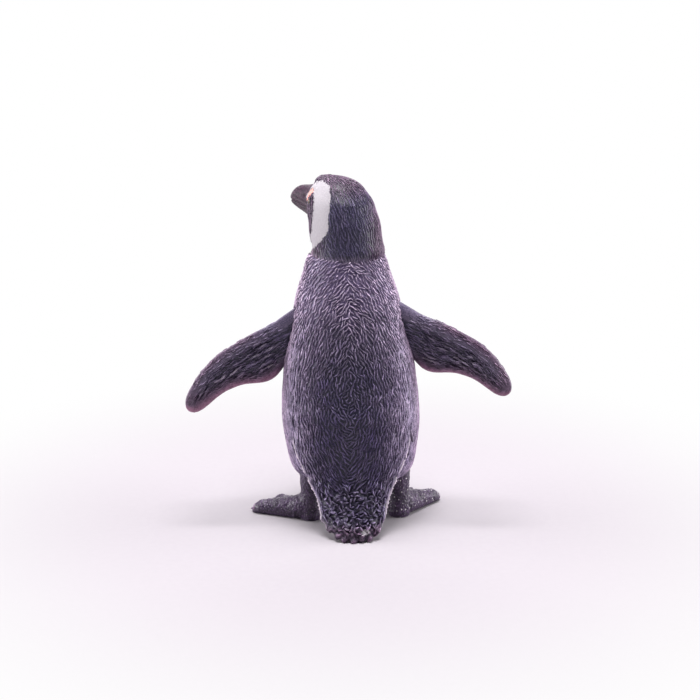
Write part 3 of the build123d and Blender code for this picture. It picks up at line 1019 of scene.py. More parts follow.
# %% Trunk skin
trunk_skin = even_skin("trunk")
trunk_off_rim = add_rim(trunk_skin)
trunk_points, trunk_normals = points_of(trunk_skin), normals_of(trunk_skin)
trunk_open = open_points("trunk", trunk_points, trunk_normals)
print("trunk's points that can be seen:", int(trunk_open.sum()), "of", len(trunk_open))
store(trunk_skin, "flow", trunk_flow(trunk_points, trunk_normals))
store(trunk_skin, "stretch", trunk_stretch(trunk_points))
upward = smoothstep(trunk_normals[:, 2], -0.85, -0.6)
upward *= smooth_faced(trunk_skin, trunk_normals)
store(trunk_skin, "cover", trunk_open * upward * smoothstep(trunk_off_rim, 0.4, 0.55))


# %% Dressing a mesh
def dress(mesh, white=-5.0, pink=-5.0, pale=0.0, blush=0.0):
    """Gives a skin or its strokes the numbers that the feathered vinyl reads."""
    level = np.zeros(len(mesh.vertices))
    store(mesh, "white_reach", white + level)
    store(mesh, "pink_reach", pink + level)
    store(mesh, "pale", pale + level)
    store(mesh, "blush", blush + level)
    for name, usual in (("crest", 0), ("tone", 0.5), ("edge_highlight", 0)):
        if not mesh.attributes.get(name):
            store(mesh, name, usual + level)


def dress_trunk(mesh):
    """Gives the trunk's skin or its strokes their paint."""
    points = points_of(mesh)
    dress(mesh, trunk_white(points), pale=trunk_pale(points), blush=trunk_blush(points))


# %% [markdown]
# The strokes of back and breast are laid as two pieces, because a piece with all of them would
# have far too many triangles. The skin's cover says where they may stand.

# %% Trunk strokes
def front_half(mesh, keep_front):
    """A copy of a skin whose strokes are laid on one side only."""
    half = mesh.copy()
    ahead = points_of(half)[:, 1] < trunk_axis[1]
    store(half, "cover", stored(half, "cover") * (ahead == keep_front))
    return half


body_strokes = dict(
    Stroke=feather_stroke, Finish=body_vinyl, Spacing=0.5, Short=0.9, Long=2.0, Narrow=0.1,
    Wide=0.155, Height=0.3, Stray=0.18, Wave=0.6, Wave_length=1.0, Seed=7,
)
dress_trunk(trunk_skin)
for side, is_front in (("back", False), ("breast", True)):
    strokes = lay_strokes(front_half(trunk_skin, is_front), side + "_feathers", **body_strokes)
    dress_trunk(strokes)
    if is_front:
        unpainted = smoothstep(stored(strokes, "white_reach"), 0.1, -0.1)
        store(strokes, "crest", stored(strokes, "crest") * (1 - 0.45 * unpainted))
    hand_over(side + "_feathers", strokes, body_vinyl, "trunk")
hand_over("trunk_skin", trunk_skin, body_vinyl, "trunk")

# %% [markdown]
# ## The head
# The head is turned to the bird's left, so it is shaped in its own frame: forward along the bill,
# left, and up from the neck seam. The mouth line, nostrils, brow and the step where feathers
# meet the bill are carved into the skin as small rounded furrows and ridges.

# %% Head frame
neck_middle = np.array((0.371, -1.559, neck_seam_height))
forward_way = np.array((math.sin(head_turn), -math.cos(head_turn), 0))
left_way = np.array((math.cos(head_turn), math.sin(head_turn), 0))
up_way = np.array((0.0, 0.0, 1.0))
print("the bill points to", forward_way.round(2))


def head_frame(points):
    """Each point's place forward, left and up in the head's own frame."""
    offset = points - neck_middle
    return offset @ forward_way, offset @ left_way, offset @ up_way


def head_place(forward, left, up):
    """A point of the head's own frame in the figure."""
    return neck_middle + forward * forward_way + left * left_way + up * up_way


# %% [markdown]
# The head's markings are outlines on its side, in pairs of forward and up: the white band from
# the brow round the cheek to the throat, a streak over the eye, and the bare pink skin by it.

# %% Head outlines
white_band = (
    (4.35, 12.05), (3.06, 12.23), (1.11, 11.75), (0.5, 11.24), (-0.2, 10.1), (-0.5, 9.26),
    (-0.75, 8.3), (-0.73, 7.3), (-0.78, 6.37), (-0.95, 5.6), (-0.87, 4.94), (-0.45, 4.08),
    (0.54, 2.96), (1.87, 1.92), (3.1, 1.16), (4.4, 0.0), (4.4, -2.0), (9.0, -2.0), (9.0, 2.2),
    (5.4, 2.3), (4.3, 2.9), (3.4, 4.0), (2.96, 5.88), (2.81, 7.55), (2.77, 8.93), (3.24, 10.22),
    (4.12, 10.96), (4.7, 11.5),
)
pink_patch = (
    (3.75, 10.6), (4.25, 11.0), (5.0, 10.4), (5.9, 9.4), (6.35, 8.7), (5.7, 8.5), (4.9, 9.1),
    (4.2, 9.9),
)
brow_streak = (
    (4.3, 11.4), (5.0, 11.35), (5.9, 10.3), (6.8, 9.1), (6.5, 8.85), (5.7, 9.85), (4.9, 10.75),
    (4.4, 11.1),
)
print("the white band has", len(white_band), "corners")


# %% Head paint
def head_white(points):
    """How far inside the white band each point of the head lies."""
    forward, left, up = head_frame(points)
    flat = np.stack([forward, up], 1)
    streak = np.minimum(reach_inside(flat, brow_streak), np.abs(left) - 1)
    return np.maximum(reach_inside(flat, white_band), streak)


def head_pink(points):
    """How far inside the bare pink skin by the eye each point lies."""
    forward, left, up = head_frame(points)
    patch = reach_inside(np.stack([forward, up], 1), pink_patch)
    return np.minimum(patch, np.abs(left) - 1.5)


def head_pale(points):
    """How pale the head is, as dry brushing and a painted highlight of the top and side lamps: a
    little on the crown, more at the sides and all round its lowest edge by the neck.
    """
    up = head_frame(points)[2]
    pale = 0.25 * smoothstep(up, 9.5, 12.5)
    beside = smoothstep(np.abs(points[:, 0] - neck_middle[0]), 4.2, 5.8) * smoothstep(up, 6, 1)
    ragged = 0.5 * clouds_at(points, 1.5, 3.0)
    return pale + 0.55 * beside + 0.7 * smoothstep(up + ragged, 0.7, 0.1)


def head_blush(points):
    """Where the head is reddish: the bill's own plum horn, and a little of the crown and the sides,
    as a painted sheen.
    """
    forward, _, up = head_frame(points)
    beside = smoothstep(np.abs(points[:, 0] - neck_middle[0]), 2.5, 5.5)
    crown = 0.5 * np.maximum(beside, smoothstep(up, 8.5, 12))
    return np.maximum(0.9 * smoothstep(forward, 5.0, 6.0), crown)


# %% Carve the head
head_skin = even_skin("head")
close_seam(head_skin, neck_seam_height, (0, 0, -1))
forward, left, up = head_frame(points_of(head_skin))
off_mouth = up - (6.9 + (forward - 5) * 0.16)
mouth = 0.26 * bump_at(off_mouth, 0.17) * smoothstep(forward, 4.6, 5.6)
on_bill = smoothstep(forward, 5.2, 6.2) * smoothstep(forward, 11.2, 9.5)
bill_groove = 0.12 * bump_at(off_mouth - 0.9, 0.16) * on_bill
nostrils = 0.3 * bump_at(np.hypot((forward - 7.5) / 2.4, up - 9.15), 0.22)
feather_step = smoothstep(forward, 6.3, 5.7) * smoothstep(forward, 3.6, 5.2)
feather_step = 0.14 * feather_step * smoothstep(up, 5.2, 6.4)
brows = bump_at(np.hypot((forward - 4.0) / 1.9, up - 11.2), 0.5)
brows = 0.22 * brows * smoothstep(np.abs(left), 2, 3.6)
by_eye = bump_at(np.hypot(forward - 3.6, up - 9.3), 1.1) * smoothstep(np.abs(left), 2.5, 3.4)
soften(head_skin, 0.9 * by_eye, 60)
carve(head_skin, -mouth - bill_groove - nostrils + feather_step + brows)
smooth_points(head_skin, 1)
head_points, head_normals = points_of(head_skin), normals_of(head_skin)
head_open = open_points("head", head_points, head_normals)
head_search = tree_of(head_skin)
print("head's points that can be seen:", int(head_open.sum()), "of", len(head_open))

# %% [markdown]
# The head's strokes are finer and shallower than the back's. They run back from the bill over
# the crown and down the nape. The bill and the skin round the eye stay smooth.

# %% Head strokes
forward, _, up = head_frame(head_points)
growth = np.tile(-0.4 * forward_way - 1.0 * up_way, (len(head_points), 1))
store(head_skin, "flow", along_surface(growth, head_normals))
feathered = smoothstep(forward, 5.6, 4.9) * smoothstep(head_pink(head_points), 0.15, -0.15)
feathered *= smoothstep(head_white(head_points), 0.1, -0.1) * 0.9 + 0.1 * (up < 1.5)
store(head_skin, "cover", head_open * feathered)
store_edge_highlight(head_skin, 0.012, 0.05, share=1 - smoothstep(forward, 4.8, 5.6))
head_paints = (head_white, head_pink, head_pale, head_blush)
dress(head_skin, *(paint_of(head_points) for paint_of in head_paints))
head_strokes = lay_strokes(
    head_skin, "head_feathers", Stroke=feather_stroke, Finish=body_vinyl, Spacing=0.46, Short=0.7,
    Long=2.0, Narrow=0.09, Wide=0.14, Height=0.12, Stray=0.25, Wave=0.6, Wave_length=1.1, Seed=11,
)
stroke_points = points_of(head_strokes)
dress(head_strokes, *(paint_of(stroke_points) for paint_of in head_paints))
store(head_strokes, "crest", 0.72 * stored(head_strokes, "crest"))
hand_over("head_feathers", head_strokes, body_vinyl, "head")
hand_over("head_skin", head_skin, body_vinyl, "head")

# %% [markdown]
# ## Eyes
# Each eye is a glossy painted dome in a raised lid. It is a ball that shows a third of itself,
# with a ring of brown round the pupil, so the paint follows rings measured from the ball's
# own middle.

# %% Eye places
eye_forward, eye_up, eye_ball = 4.3, 8.9, 0.62
eye_sunk, eye_back = 0.3, 0.25
eye_turn = math.radians(35)


def eye_place(side):
    """The middle of an eye's ball, a little inside the face where a line from the side meets it."""
    start = head_place(eye_forward, side * 12, eye_up)
    found = head_search.ray_cast(Vector(start), Vector(-side * left_way))[0]
    return np.array(found) - side * left_way * eye_sunk - forward_way * eye_back


def eye_outward(side):
    """The way an eye looks: aside and a little forward."""
    return side * left_way * math.cos(eye_turn) + forward_way * math.sin(eye_turn)


eye_places = [eye_place(side) for side in (1, -1)]
print("the eyes stand at", [place_of.round(2).tolist() for place_of in eye_places])


# %% Eye paint
def eye_paint():
    """Glossy black with a brown ring, read from how far out along the eye a point lies."""
    material, tree, shader, where = new_material("eye_paint")
    ring = carried(tree, "iris")
    mottle = noise(tree, where, 9.0, 2.0)
    brown = blend_paint(tree, mottle, paint(58, 34, 24), paint(120, 78, 48))
    share = calc(tree, "MULTIPLY", ramp(tree, ring, 0.24, 0.27), ramp(tree, ring, 0.42, 0.38))
    tree.links.new(blend_paint(tree, share, paint(12, 10, 12), brown), shader.inputs["Base Color"])
    tree.links.new(ramp(tree, mottle, 0.3, 0.7, 0.1, 0.18), shader.inputs["Roughness"])
    give_relief(tree, shader, mottle, depth=0.01, strength=0.3)
    return material


# %% Eyelid ring
lid_out, lid_radius, lid_thickness = 0.34, 0.54, 0.12
lid_length, lid_height = 1.12, 0.95


def add_lid(net, middle, outward, around=28, sides=8):
    """A small rounded ring, a little pointed at its front and back as an eyelid is."""
    across = np.cross(up_way, outward)
    across /= np.linalg.norm(across)
    over = np.cross(outward, across)
    rows = []
    for i in range(around):
        angle = 2 * math.pi * i / around
        spoke = across * math.cos(angle) * lid_length + over * math.sin(angle) * lid_height
        row = []
        for j in range(sides):
            turn = 2 * math.pi * j / sides
            aside = spoke * (lid_radius + lid_thickness * math.cos(turn))
            row.append(net.verts.new(middle + aside + outward * lid_thickness * math.sin(turn)))
        rows.append(row)
    for i in range(around):
        for j in range(sides):
            a, b = rows[i], rows[(i + 1) % around]
            k = (j + 1) % sides
            net.faces.new((a[j], a[k], b[k], b[j]))


# %% Eyes and eyelids
eyes, lids = bmesh.new(), bmesh.new()
for centre, side in zip(eye_places, (1, -1)):
    ball = bmesh.ops.create_icosphere(eyes, subdivisions=4, radius=eye_ball)
    bmesh.ops.translate(eyes, verts=ball["verts"], vec=Vector(centre))
    add_lid(lids, centre + eye_outward(side) * lid_out, eye_outward(side))
bmesh.ops.recalc_face_normals(lids, faces=lids.faces)
eye_mesh, lid_mesh = bpy.data.meshes.new("eyes"), bpy.data.meshes.new("eyelids")
for net, mesh in ((eyes, eye_mesh), (lids, lid_mesh)):
    net.to_mesh(mesh)
    net.free()
    smooth_shaded(mesh)
eye_points = points_of(eye_mesh)
side_of = np.where(eye_points @ left_way > neck_middle @ left_way, 1, -1)[:, None]
offset = eye_points - np.where(side_of > 0, *eye_places)
outwards = eye_outward(side_of)
ahead = np.einsum("ij,ij->i", offset, outwards)
off_middle = np.linalg.norm(offset - outwards * ahead[:, None], axis=1)
store(eye_mesh, "iris", np.where(ahead > 0, off_middle, 1))
print("eyes and eyelids have", len(eye_mesh.polygons), "and", len(lid_mesh.polygons), "faces")
dress(lid_mesh)
hand_over("eyes", eye_mesh, eye_paint(), "head")
hand_over("eyelids", lid_mesh, body_vinyl, "head")

# %% [markdown]
# ## The flippers
# A flipper is a stiff flat blade. Broad smooth rims run along both its edges, and the panel
# between them lies a little lower and darker, with wavy ridges and fine short strokes. The rims
# are paler, as dry brushing and a painted highlight.

# %% Flipper sizes
flipper_width = 9.0
flippers = {
    "left_flipper": dict(side=1, height=31.2, length=21.3, droop=34.0),
    "right_flipper": dict(side=-1, height=32.4, length=20.6, droop=29.5),
}
flipper_sweep, flipper_twist = math.radians(8), math.radians(12)
lead_shares = (
    (0, 0.3, 0.5, 0.7, 0.8, 0.88, 0.94, 1),
    (0.47, 0.55, 0.58, 0.51, 0.42, 0.33, 0.24, 0.05),
)
trail_shares = (
    (0, 0.3, 0.4, 0.5, 0.6, 0.8, 0.94, 1),
    (-0.33, -0.48, -0.42, -0.26, -0.17, -0.15, -0.15, -0.02),
)
widest = flipper_width * (max(lead_shares[1]) - min(trail_shares[1]))
print("a flipper is at most", round(widest, 1), "mm wide")


# %% Flipper frames
def turned(vector, axis, angle):
    """A vector turned about an axis."""
    axis = axis / np.linalg.norm(axis)
    return (
        vector * math.cos(angle)
        + np.cross(axis, vector) * math.sin(angle)
        + axis * (axis @ vector) * (1 - math.cos(angle))
    )


def flipper_ways(name):
    """The directions along a flipper, towards its leading edge, and out of its rear face."""
    side, tilt = flippers[name]["side"], math.radians(flippers[name]["droop"])
    out = np.array((side * math.cos(tilt), 0, -math.sin(tilt)))
    rise = np.array((side * math.sin(tilt), 0, math.cos(tilt)))
    along = turned(out, up_way, side * flipper_sweep)
    lead = turned(turned(rise, up_way, side * flipper_sweep), along, -side * flipper_twist)
    rear = np.cross(along, lead)
    return along, lead, rear if rear[1] > 0 else -rear


def shoulder_of(name):
    """Where a flipper's frame starts, worked back from the tip that the casting has."""
    along, lead, _ = flipper_ways(name)
    points = points_of(merged[name])
    tip = points[np.argmax(points @ along)]
    return tip - along * flippers[name]["length"] - lead * 0.015 * flipper_width


shoulder = {name: shoulder_of(name) for name in flippers}
for name in flippers:
    print(name, "starts at", shoulder[name].round(2))


# %% Flipper map
def flipper_map(name, points):
    """How far along each point is as a share, its place across the blade, and how far behind."""
    along, lead, rear = flipper_ways(name)
    offset = points - shoulder[name]
    return offset @ along / flippers[name]["length"], offset @ lead, offset @ rear


def flipper_edges(name, points):
    """How far along a flipper each point is, and how far inside its front and rear edges."""
    share, across, _ = flipper_map(name, points)
    front_edge = flipper_width * np.interp(share, *lead_shares) - across
    rear_edge = across - flipper_width * np.interp(share, *trail_shares)
    return share, front_edge, rear_edge


def flipper_inner(name, points):
    """1 inside a flipper's rims, and 0 on them, with a soft step between."""
    share, front_edge, rear_edge = flipper_edges(name, points)
    wander = 0.35 * clouds_at(points, 1.6, 2.0)
    inner = smoothstep(front_edge + wander, 1.6, 2.2) * smoothstep(rear_edge + wander, 1.2, 2.1)
    return inner * smoothstep(share, 0.95, 0.86)


# %% Flipper paint
def flipper_white(name, points):
    """The front face is white inside dark margins."""
    share, front_edge, rear_edge = flipper_edges(name, points)
    behind = flipper_map(name, points)[2]
    inset = np.minimum(front_edge - 1.3, rear_edge - 0.8)
    inset = np.minimum(inset, (0.9 - share) * 20)
    return np.minimum(inset, -0.15 - behind)


def flipper_pale(name, points):
    """How pale a flipper is, as dry brushing and a painted highlight: most on its rims and its tip,
    and least near the body.
    """
    share = flipper_edges(name, points)[0]
    rims = 1 - flipper_inner(name, points)
    inside = (1 - rims) * (0.18 + 0.16 * smoothstep(share, 0.1, 0.4))
    return 0.44 * rims + inside + 0.08 * smoothstep(share, 0.35, 1)


def flipper_blush(name, points):
    """The thin rims and the tip of a flipper, tinted reddish as a painted glow of light through the
    thin vinyl and up from the floor.
    """
    share, front_edge, rear_edge = flipper_edges(name, points)
    rims = np.maximum(0.95 * bump_at(rear_edge, 1.7), 0.5 * bump_at(front_edge, 0.8))
    tip = 0.45 * smoothstep(share, 0.75, 0.95)
    return np.maximum(rims * smoothstep(share, 0.1, 0.3), tip)


def dress_flipper(mesh, name):
    """Gives a flipper's skin or its strokes their paint."""
    points = points_of(mesh)
    pale, blush = flipper_pale(name, points), flipper_blush(name, points)
    dress(mesh, flipper_white(name, points), pale=pale, blush=blush)


# %% [markdown]
# The strokes on a blade run outwards and bend with whichever edge is nearer. The ridges between
# the rims are a sine wave across the blade that clouds push to and fro and break into patches.

# %% Flipper flow and relief
ridge_spacing, ridge_height = 0.95, 0.3
panel_depth, rim_rise = 0.24, 0.05


def flipper_flow(name, points, normals):
    """The way a flipper's strokes point: outwards, and along whichever edge is nearer."""
    share, front_edge, rear_edge = flipper_edges(name, points)
    along, lead, _ = flipper_ways(name)
    step = 0.05
    front_slope, rear_slope = (
        (np.interp(share + step, *shares) - np.interp(share - step, *shares))
        * flipper_width / (2 * step * flippers[name]["length"])
        for shares in (lead_shares, trail_shares)
    )
    nearer_front = np.clip(rear_edge / np.maximum(front_edge + rear_edge, 0.1), 0, 1)
    slope = front_slope * nearer_front + rear_slope * (1 - nearer_front)
    return along_surface(along + np.outer(slope, lead), normals)


def flipper_relief(name, points, normals):
    """The sunk panel with its wavy ridges, and how much of a ridge each point is on."""
    facts, rear = flippers[name], flipper_ways(name)[2]
    share, front_edge, _ = flipper_edges(name, points)
    inner = flipper_inner(name, points)
    blade = np.stack([share * facts["length"] / 2.4, front_edge, normals @ rear], 1)
    swell = clouds_at(blade, 1.3, facts["side"] * 2.0)
    ripple = np.sin((front_edge + 0.75 * swell) * 2 * np.pi / ridge_spacing)
    patchy = smoothstep(clouds_at(blade, 1.0, 5.0), -0.3, 0.15)
    relief = rim_rise * (1 - inner) - panel_depth * inner
    relief += ridge_height * inner * np.clip(ripple, -0.6, 1) * patchy
    relief += 0.05 * inner * clouds_at(points, 0.35, 9.0)
    return relief * smoothstep(share, 0.05, 0.2), np.clip(ripple, 0, 1) * inner * patchy


# %% Flipper pieces
flipper_strokes = dict(
    Stroke=feather_stroke, Finish=body_vinyl, Spacing=0.5, Short=0.7, Long=1.7, Narrow=0.08,
    Wide=0.14, Height=0.13, Stray=0.25, Wave=0.5, Wave_length=1.0, Seed=13,
)
for name in flippers:
    skin = even_skin(name)
    points, normals = points_of(skin), normals_of(skin)
    share, _, rear_edge = flipper_edges(name, points)
    inner = flipper_inner(name, points)
    flat_part = smoothstep(np.abs(normals @ flipper_ways(name)[2]), 0.45, 0.7)
    flat_part *= smoothstep(rear_edge, 0.8, 1.8)
    relief, ridge = flipper_relief(name, points, normals)
    carve(skin, relief)
    points, normals = points_of(skin), normals_of(skin)
    seen = open_points(name, points, normals)
    store(skin, "flow", flipper_flow(name, points, normals))
    on_blade = (share > 0.03) * (share < 0.93)
    store(skin, "cover", seen * flat_part * (0.7 + 0.3 * inner) * on_blade)
    store_edge_highlight(skin, 0.008, 0.04)
    # The ridges, the rims and most of all the lower rim are painted lighter, a painted highlight;
    # the lower rim's stands for light from the floor below.
    lower_rim = bump_at(rear_edge, 1.9) * smoothstep(share, 0.1, 0.3)
    proud = np.maximum.reduce([0.8 * ridge, 0.45 * (1 - inner), 0.9 * lower_rim])
    store(skin, "crest", proud)
    dress_flipper(skin, name)
    strokes = lay_strokes(skin, name + "_feathers", **flipper_strokes)
    dress_flipper(strokes, name)
    hand_over(name + "_feathers", strokes, body_vinyl, name)
    hand_over(name + "_skin", skin, body_vinyl, name)

# %% [markdown]
# ## The tail
# Most of the tail is a patch of short coarse tufts, laid in every direction. Its top is
# pointed, its sides keep a smooth strip inside the rims, and along the lower edge stands a row
# of round knobs. The tufts use the same tree and sliver as the strokes, only shorter and higher.

# %% Tail skin
tail_half_width = 6.0
knob_spacing, knob_radius, knob_height = 1.3, 0.48, 0.32
lump_height = 0.36


def tail_edge(aside):
    """How high the tail's lower edge lies, which rises towards both sides."""
    return 3.9 * np.abs(aside / tail_half_width) ** 3


tail_skin = even_skin("tail")
close_seam(tail_skin, 9.7, (0, -0.36, 0.93))
tail_off_rim = add_rim(tail_skin)
points = points_of(tail_skin)
knobs = np.zeros(len(points))
for aside in np.arange(-5.2, 5.3, knob_spacing):
    behind = Vector((spine_at(2) + aside, 30, tail_edge(aside) + 0.55))
    hit = search["tail"].ray_cast(behind, Vector((0, -1, 0)))[0]
    if hit is not None:
        off_knob = np.linalg.norm(points - np.array(hit), axis=1)
        knobs = np.maximum(knobs, bump_at(off_knob, knob_radius))
lumps = clouds_at(points, 0.75, 4.0) + 0.4 * clouds_at(points, 0.35, 2.0)
inside_rim = smoothstep(tail_off_rim, 0.4, 1.2)
carve(tail_skin, knob_height * knobs + lump_height * lumps * inside_rim)
tail_points, tail_normals = points_of(tail_skin), normals_of(tail_skin)
tail_open = open_points("tail", tail_points, tail_normals)
store(tail_skin, "flow", trunk_flow(tail_points, tail_normals))
print("tail's points on a knob:", int((knobs > 0.1).sum()), "of", len(knobs))


# %% Tail paint
def tail_fleck(points):
    """A stray fleck of white paint near the tail's lower edge."""
    off_fleck = np.hypot((points[:, 0] + 2.8) * 0.7, (points[:, 2] - 1.7) * 1.1)
    return 0.46 - off_fleck - (points[:, 1] < 5)


def dress_tail(mesh):
    """Gives the tail's skin or its strokes their paint."""
    points = points_of(mesh)
    dress(mesh, tail_fleck(points), pale=trunk_pale(points), blush=trunk_blush(points))


dress_tail(tail_skin)
# The knob and lump tops are painted lighter, a painted highlight.
store(tail_skin, "crest", np.maximum(0.35 * knobs, 0.6 * smoothstep(lumps, 0.1, 0.5)))

# %% Tail tufts
height = tail_points[:, 2]
aside = np.abs(tail_points[:, 0] - spine_at(height))
patch_top = 9.4 - 0.42 * aside + 0.5 * clouds_at(tail_points, 1.2, 6.0)
rough_patch = smoothstep(tail_off_rim, 1.0, 1.5) * smoothstep(patch_top - height, -0.2, 0.3)
calm_patch = (1 - rough_patch) * (tail_off_rim > 0.45) * (height > 0.8)
tuft_strokes = dict(
    Stroke=feather_stroke, Finish=body_vinyl, Spacing=0.66, Short=0.5, Long=1.3, Narrow=0.1,
    Wide=0.22, Height=0.42, Stray=1.5, Wave=0.9, Wave_length=0.8, Seed=17,
)
for name, cover, settings in (
    ("tail_feathers", calm_patch, body_strokes),
    ("tail_tufts", rough_patch * smoothstep(height - tail_edge(aside), 1.1, 1.5), tuft_strokes),
):
    store(tail_skin, "cover", tail_open * cover)
    strokes = lay_strokes(tail_skin, name, **settings)
    dress_tail(strokes)
    hand_over(name, strokes, body_vinyl, "tail")
hand_over("tail_skin", tail_skin, body_vinyl, "tail")

# %% [markdown]
# ## Legs and feet
# The feet are broad and fleshy. Creases cross each toe at its joints, and the web between the
# toes is drawn into fine rays. Small round scales cover the instep and the shank.

# %% Leg sizes
legs = {
    "left_leg": dict(side=1, foot=(6.421, 1.441), splay=38.0, fan=34.0, flecked=0.15),
    "right_leg": dict(side=-1, foot=(-8.679, -0.259), splay=15.0, fan=27.0, flecked=1.0),
}
toe_length, toe_half_width, toe_arch = 10.5, 1.3, 0.45
crease_spacing, crease_depth = 1.3, 0.16
ray_height, fold_height, claw_groove_depth = 0.08, 0.1, 0.1
print("each toe reaches", toe_length, "mm from the ankle")


# %% Foot map
def foot_map(facts, points):
    """How far each point is from the ankle, and its heading from straight ahead in degrees."""
    offset = points[:, :2] - np.array(facts["foot"])
    heading = np.degrees(np.arctan2(offset[:, 0] * facts["side"], -offset[:, 1]))
    return np.linalg.norm(offset, axis=1), heading


def toe_nearness(facts, reach, heading):
    """1 along the middle of each of the three toes, fading to 0 at its sides."""
    toe_headings = [facts["splay"] + turn * facts["fan"] for turn in (-1, 0, 1)]
    nearest = np.min([np.abs(heading - toe_heading) for toe_heading in toe_headings], axis=0)
    off_toe = reach * np.radians(np.minimum(nearest, 45))
    return bump_at(off_toe, toe_half_width) * smoothstep(reach, 2.6, 4.0)


# %% Foot relief
def foot_relief(facts, points, normals, folds):
    """Creases over the toes, rays in the web, loose folds, and a groove before each claw."""
    reach, heading = foot_map(facts, points)
    height = points[:, 2]
    on_top = smoothstep(normals[:, 2], 0.1, 0.5) * smoothstep(height, 0.5, 1.0)
    on_toe = toe_nearness(facts, reach, heading)
    joints = np.clip(np.sin(reach * 2 * np.pi / crease_spacing) - 0.3, 0, 1)
    rays = np.sin(np.radians(heading) * 34) * smoothstep(reach, 2.5, 5)
    relief = ray_height * on_top * (1 - on_toe) * rays - crease_depth * on_toe * on_top * joints
    relief += fold_height * folds * smoothstep(height, 0.3, 0.8)
    claw_groove = bump_at(reach - toe_length + 0.75, 0.22) * smoothstep(height, 0.4, 0.8)
    relief -= claw_groove_depth * claw_groove
    outer, middle = (bump_at(heading - facts["splay"] - turn, 15) for turn in (facts["fan"], 0))
    arch = outer * bump_at(reach - 5, 2.6) - middle * smoothstep(reach, 3.5, 6)
    return relief + toe_arch * on_top * arch


# %% [markdown]
# A scale is a low bead of the same sliver shape. The stroke tree lays the beads too, small and
# close together, so the feet need no tree of their own.

# %% Scales
bead_profile = ((-0.38, 0.75, 0.55), (0.0, 1, 1), (0.36, 0.75, 0.6))
scale_bead = sliver("scale_bead", bead_profile, ridge_cross)
foot_scales = dict(
    Stroke=scale_bead, Finish=foot_vinyl, Spacing=0.46, Short=0.38, Long=0.6, Narrow=0.17,
    Wide=0.24, Height=0.035, Stray=0.8, Wave=0.1, Wave_length=1.5, Seed=19,
)


def mark_flecked(mesh, facts):
    """How many stray flecks of white paint the foot carries."""
    store(mesh, "flecked", np.full(len(mesh.vertices), facts["flecked"]))


# %% Leg pieces
for name, facts in legs.items():
    skin = even_skin(name)
    fill_hollows(skin, 200)
    reach = foot_map(facts, points_of(skin))[0]
    soften(skin, 0.9 * smoothstep(reach, toe_length + 0.15, toe_length + 0.6), 12)
    points = points_of(skin)
    reach = foot_map(facts, points)[0]
    folds = clouds_at(points, 0.5, 5.0)
    down_and_out = np.column_stack([points[:, :2] - facts["foot"], np.full(len(points), -2.0)])
    carve(skin, foot_relief(facts, points, normals_of(skin), folds))
    points, normals = points_of(skin), normals_of(skin)
    height = points[:, 2]
    seen = open_points(name, points, normals)
    store(skin, "flow", along_surface(down_and_out, normals))
    bare = smoothstep(height, 0.35, 0.7) * smoothstep(reach, toe_length - 0.4, toe_length - 0.9)
    store(skin, "cover", seen * bare)
    nail = smoothstep(reach, toe_length - 0.7, toe_length - 0.4) * smoothstep(height, 0.4, 0.9)
    # Sharp edges and the claw tips get a painted highlight.
    store_edge_highlight(skin, 0.012, 0.045)
    store(skin, "edge_highlight", np.maximum(stored(skin, "edge_highlight"), 0.7 * nail))
    # The tops of the folds are painted lighter, a painted highlight.
    store(skin, "crest", 0.7 * smoothstep(folds, 0.05, 0.45) * smoothstep(height, 4.5, 3))
    store(skin, "tone", np.full(len(points), 0.5))
    mark_flecked(skin, facts)
    scales = lay_strokes(skin, name + "_scales", **foot_scales)
    store(scales, "edge_highlight", np.zeros(len(scales.vertices)))
    mark_flecked(scales, facts)
    hand_over(name + "_scales", scales, foot_vinyl, name)
    hand_over(name + "_skin", skin, foot_vinyl, name)

for model in (feather_stroke, scale_bead):
    bpy.data.objects.remove(model)

# %% [markdown]
# ## Floor and backdrop
# The photograph was taken on white paper that fades to pure white. The floor here is a large
# pale sheet that takes the figure's soft shadow. Away from the figure, the camera and reflections
# see it as plain white, so it meets the white world without a line.

# %% Paper
white_from, white_to = 0.028, 0.095


def paper_white():
    """White paper: it takes shadows, and away from the figure the camera sees it as plain white."""
    material = bpy.data.materials.new("paper_white")
    material.use_nodes = True
    tree = material.node_tree
    tree.nodes.clear()
    where = place(tree, "ShaderNodeTexCoord").outputs["Object"]
    off = place(tree, "ShaderNodeVectorMath", {0: where}, operation="LENGTH").outputs["Value"]
    fibres = noise(tree, where, 900.0, 3.0)
    fibrous = ramp(tree, fibres, 0.3, 0.7, 0.0, 0.08)
    tint = blend_paint(tree, fibrous, paint(170, 164, 170), paint(152, 146, 153))
    matt = place(tree, "ShaderNodeBsdfDiffuse", {"Color": tint})
    glow = place(tree, "ShaderNodeEmission", {"Strength": 1.0})
    path = place(tree, "ShaderNodeLightPath").outputs
    seen = calc(tree, "ADD", path["Is Camera Ray"], path["Is Glossy Ray"])
    seen = calc(tree, "ADD", seen, path["Is Transmission Ray"], clamp=True)
    white = calc(tree, "MULTIPLY", seen, ramp(tree, off, white_from, white_to))
    mixed = place(tree, "ShaderNodeMixShader", {0: white, 1: matt.outputs[0], 2: glow.outputs[0]})
    output = place(tree, "ShaderNodeOutputMaterial")
    tree.links.new(mixed.outputs[0], output.inputs["Surface"])
    return material


# %% Floor
floor_half = 2.5
floor_mesh = bpy.data.meshes.new("floor")
corners = [(x * floor_half, y * floor_half, 0) for x, y in ((-1, -1), (1, -1), (1, 1), (-1, 1))]
floor_mesh.from_pydata(corners, [], [(0, 1, 2, 3)])
floor_mesh.materials.append(paper_white())
floor = put_in_scene("floor", floor_mesh)
print("the floor is", 2 * floor_half, "m wide")

# %% [markdown]
# ## Light
# The photograph has soft light from both sides and above, and little from the camera, so the
# outline of the bird is lit and the middle of its back stays dark. Wide area lamps stand at
# each side and overhead, a weak one lights the breast, and a pale world fills the rest. To the
# camera the world is plain white.

# %% Lamps
lamp_aim = Vector((0, 0, 0.028))


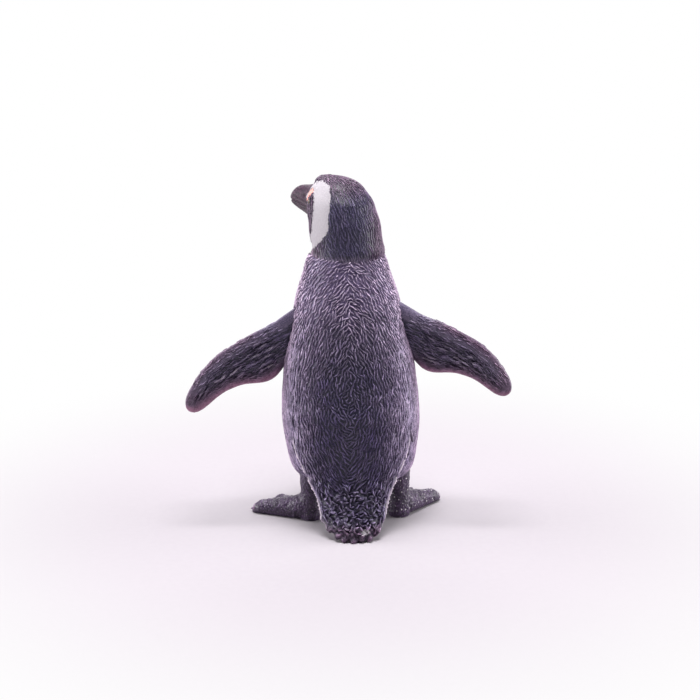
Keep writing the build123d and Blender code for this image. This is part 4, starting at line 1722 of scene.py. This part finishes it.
def soft_lamp(name, place_at, size, watts):
    """A square area lamp that faces the figure's middle."""
    lamp = bpy.data.objects.new(name, bpy.data.lights.new(name, "AREA"))
    lamp.data.size = size
    lamp.data.energy = watts
    lamp.location = place_at
    lamp.rotation_euler = (lamp_aim - Vector(place_at)).to_track_quat("-Z", "Y").to_euler()
    scene.collection.objects.link(lamp)


lamps = (
    ("left_lamp", (0.36, -0.02, 0.08), 0.3, 2.1),
    ("right_lamp", (-0.36, -0.02, 0.08), 0.3, 2.1),
    ("top_lamp", (0, 0.03, 0.42), 0.2, 3.0),
    ("front_lamp", (0, -0.4, 0.2), 0.4, 0.8),
)
for lamp_facts in lamps:
    soft_lamp(*lamp_facts)
print(len(lamps), "lamps give", sum(facts[3] for facts in lamps), "watts")

# %% [markdown]
# The world is bright on the side that the bird faces and dim on the side of the photograph's
# camera, so the figure's glossy outline catches light and the middle of its back stays dark.

# %% World
world = bpy.data.worlds.new("pale room")
scene.world = world
world.use_nodes = True
room = world.node_tree
room.nodes.clear()
mirrored_share, filled_share = 0.75, 0.11
where = place(room, "ShaderNodeTexCoord").outputs["Generated"]
toward = place(room, "ShaderNodeSeparateXYZ", {0: where})
behind = ramp(room, toward.outputs["Y"], 0.75, -0.6, 0.12, 1.0)
path = place(room, "ShaderNodeLightPath").outputs
mirrored, filled = (
    calc(room, "MULTIPLY", path[kind], calc(room, "MULTIPLY", behind, share))
    for kind, share in (("Is Glossy Ray", mirrored_share), ("Is Diffuse Ray", filled_share))
)
strength = calc(room, "ADD", mirrored, filled)
dim = place(room, "ShaderNodeBackground", {"Color": (1, 0.94, 1, 1), "Strength": strength})
bright = place(room, "ShaderNodeBackground", {"Color": (1, 1, 1, 1), "Strength": 1.0})
seen = calc(room, "ADD", path["Is Camera Ray"], path["Is Transmission Ray"], clamp=True)
either = place(room, "ShaderNodeMixShader", {0: seen, 1: dim.outputs[0], 2: bright.outputs[0]})
world_output = place(room, "ShaderNodeOutputWorld")
room.links.new(either.outputs[0], world_output.inputs["Surface"])
print("the world has", len(room.nodes), "nodes")
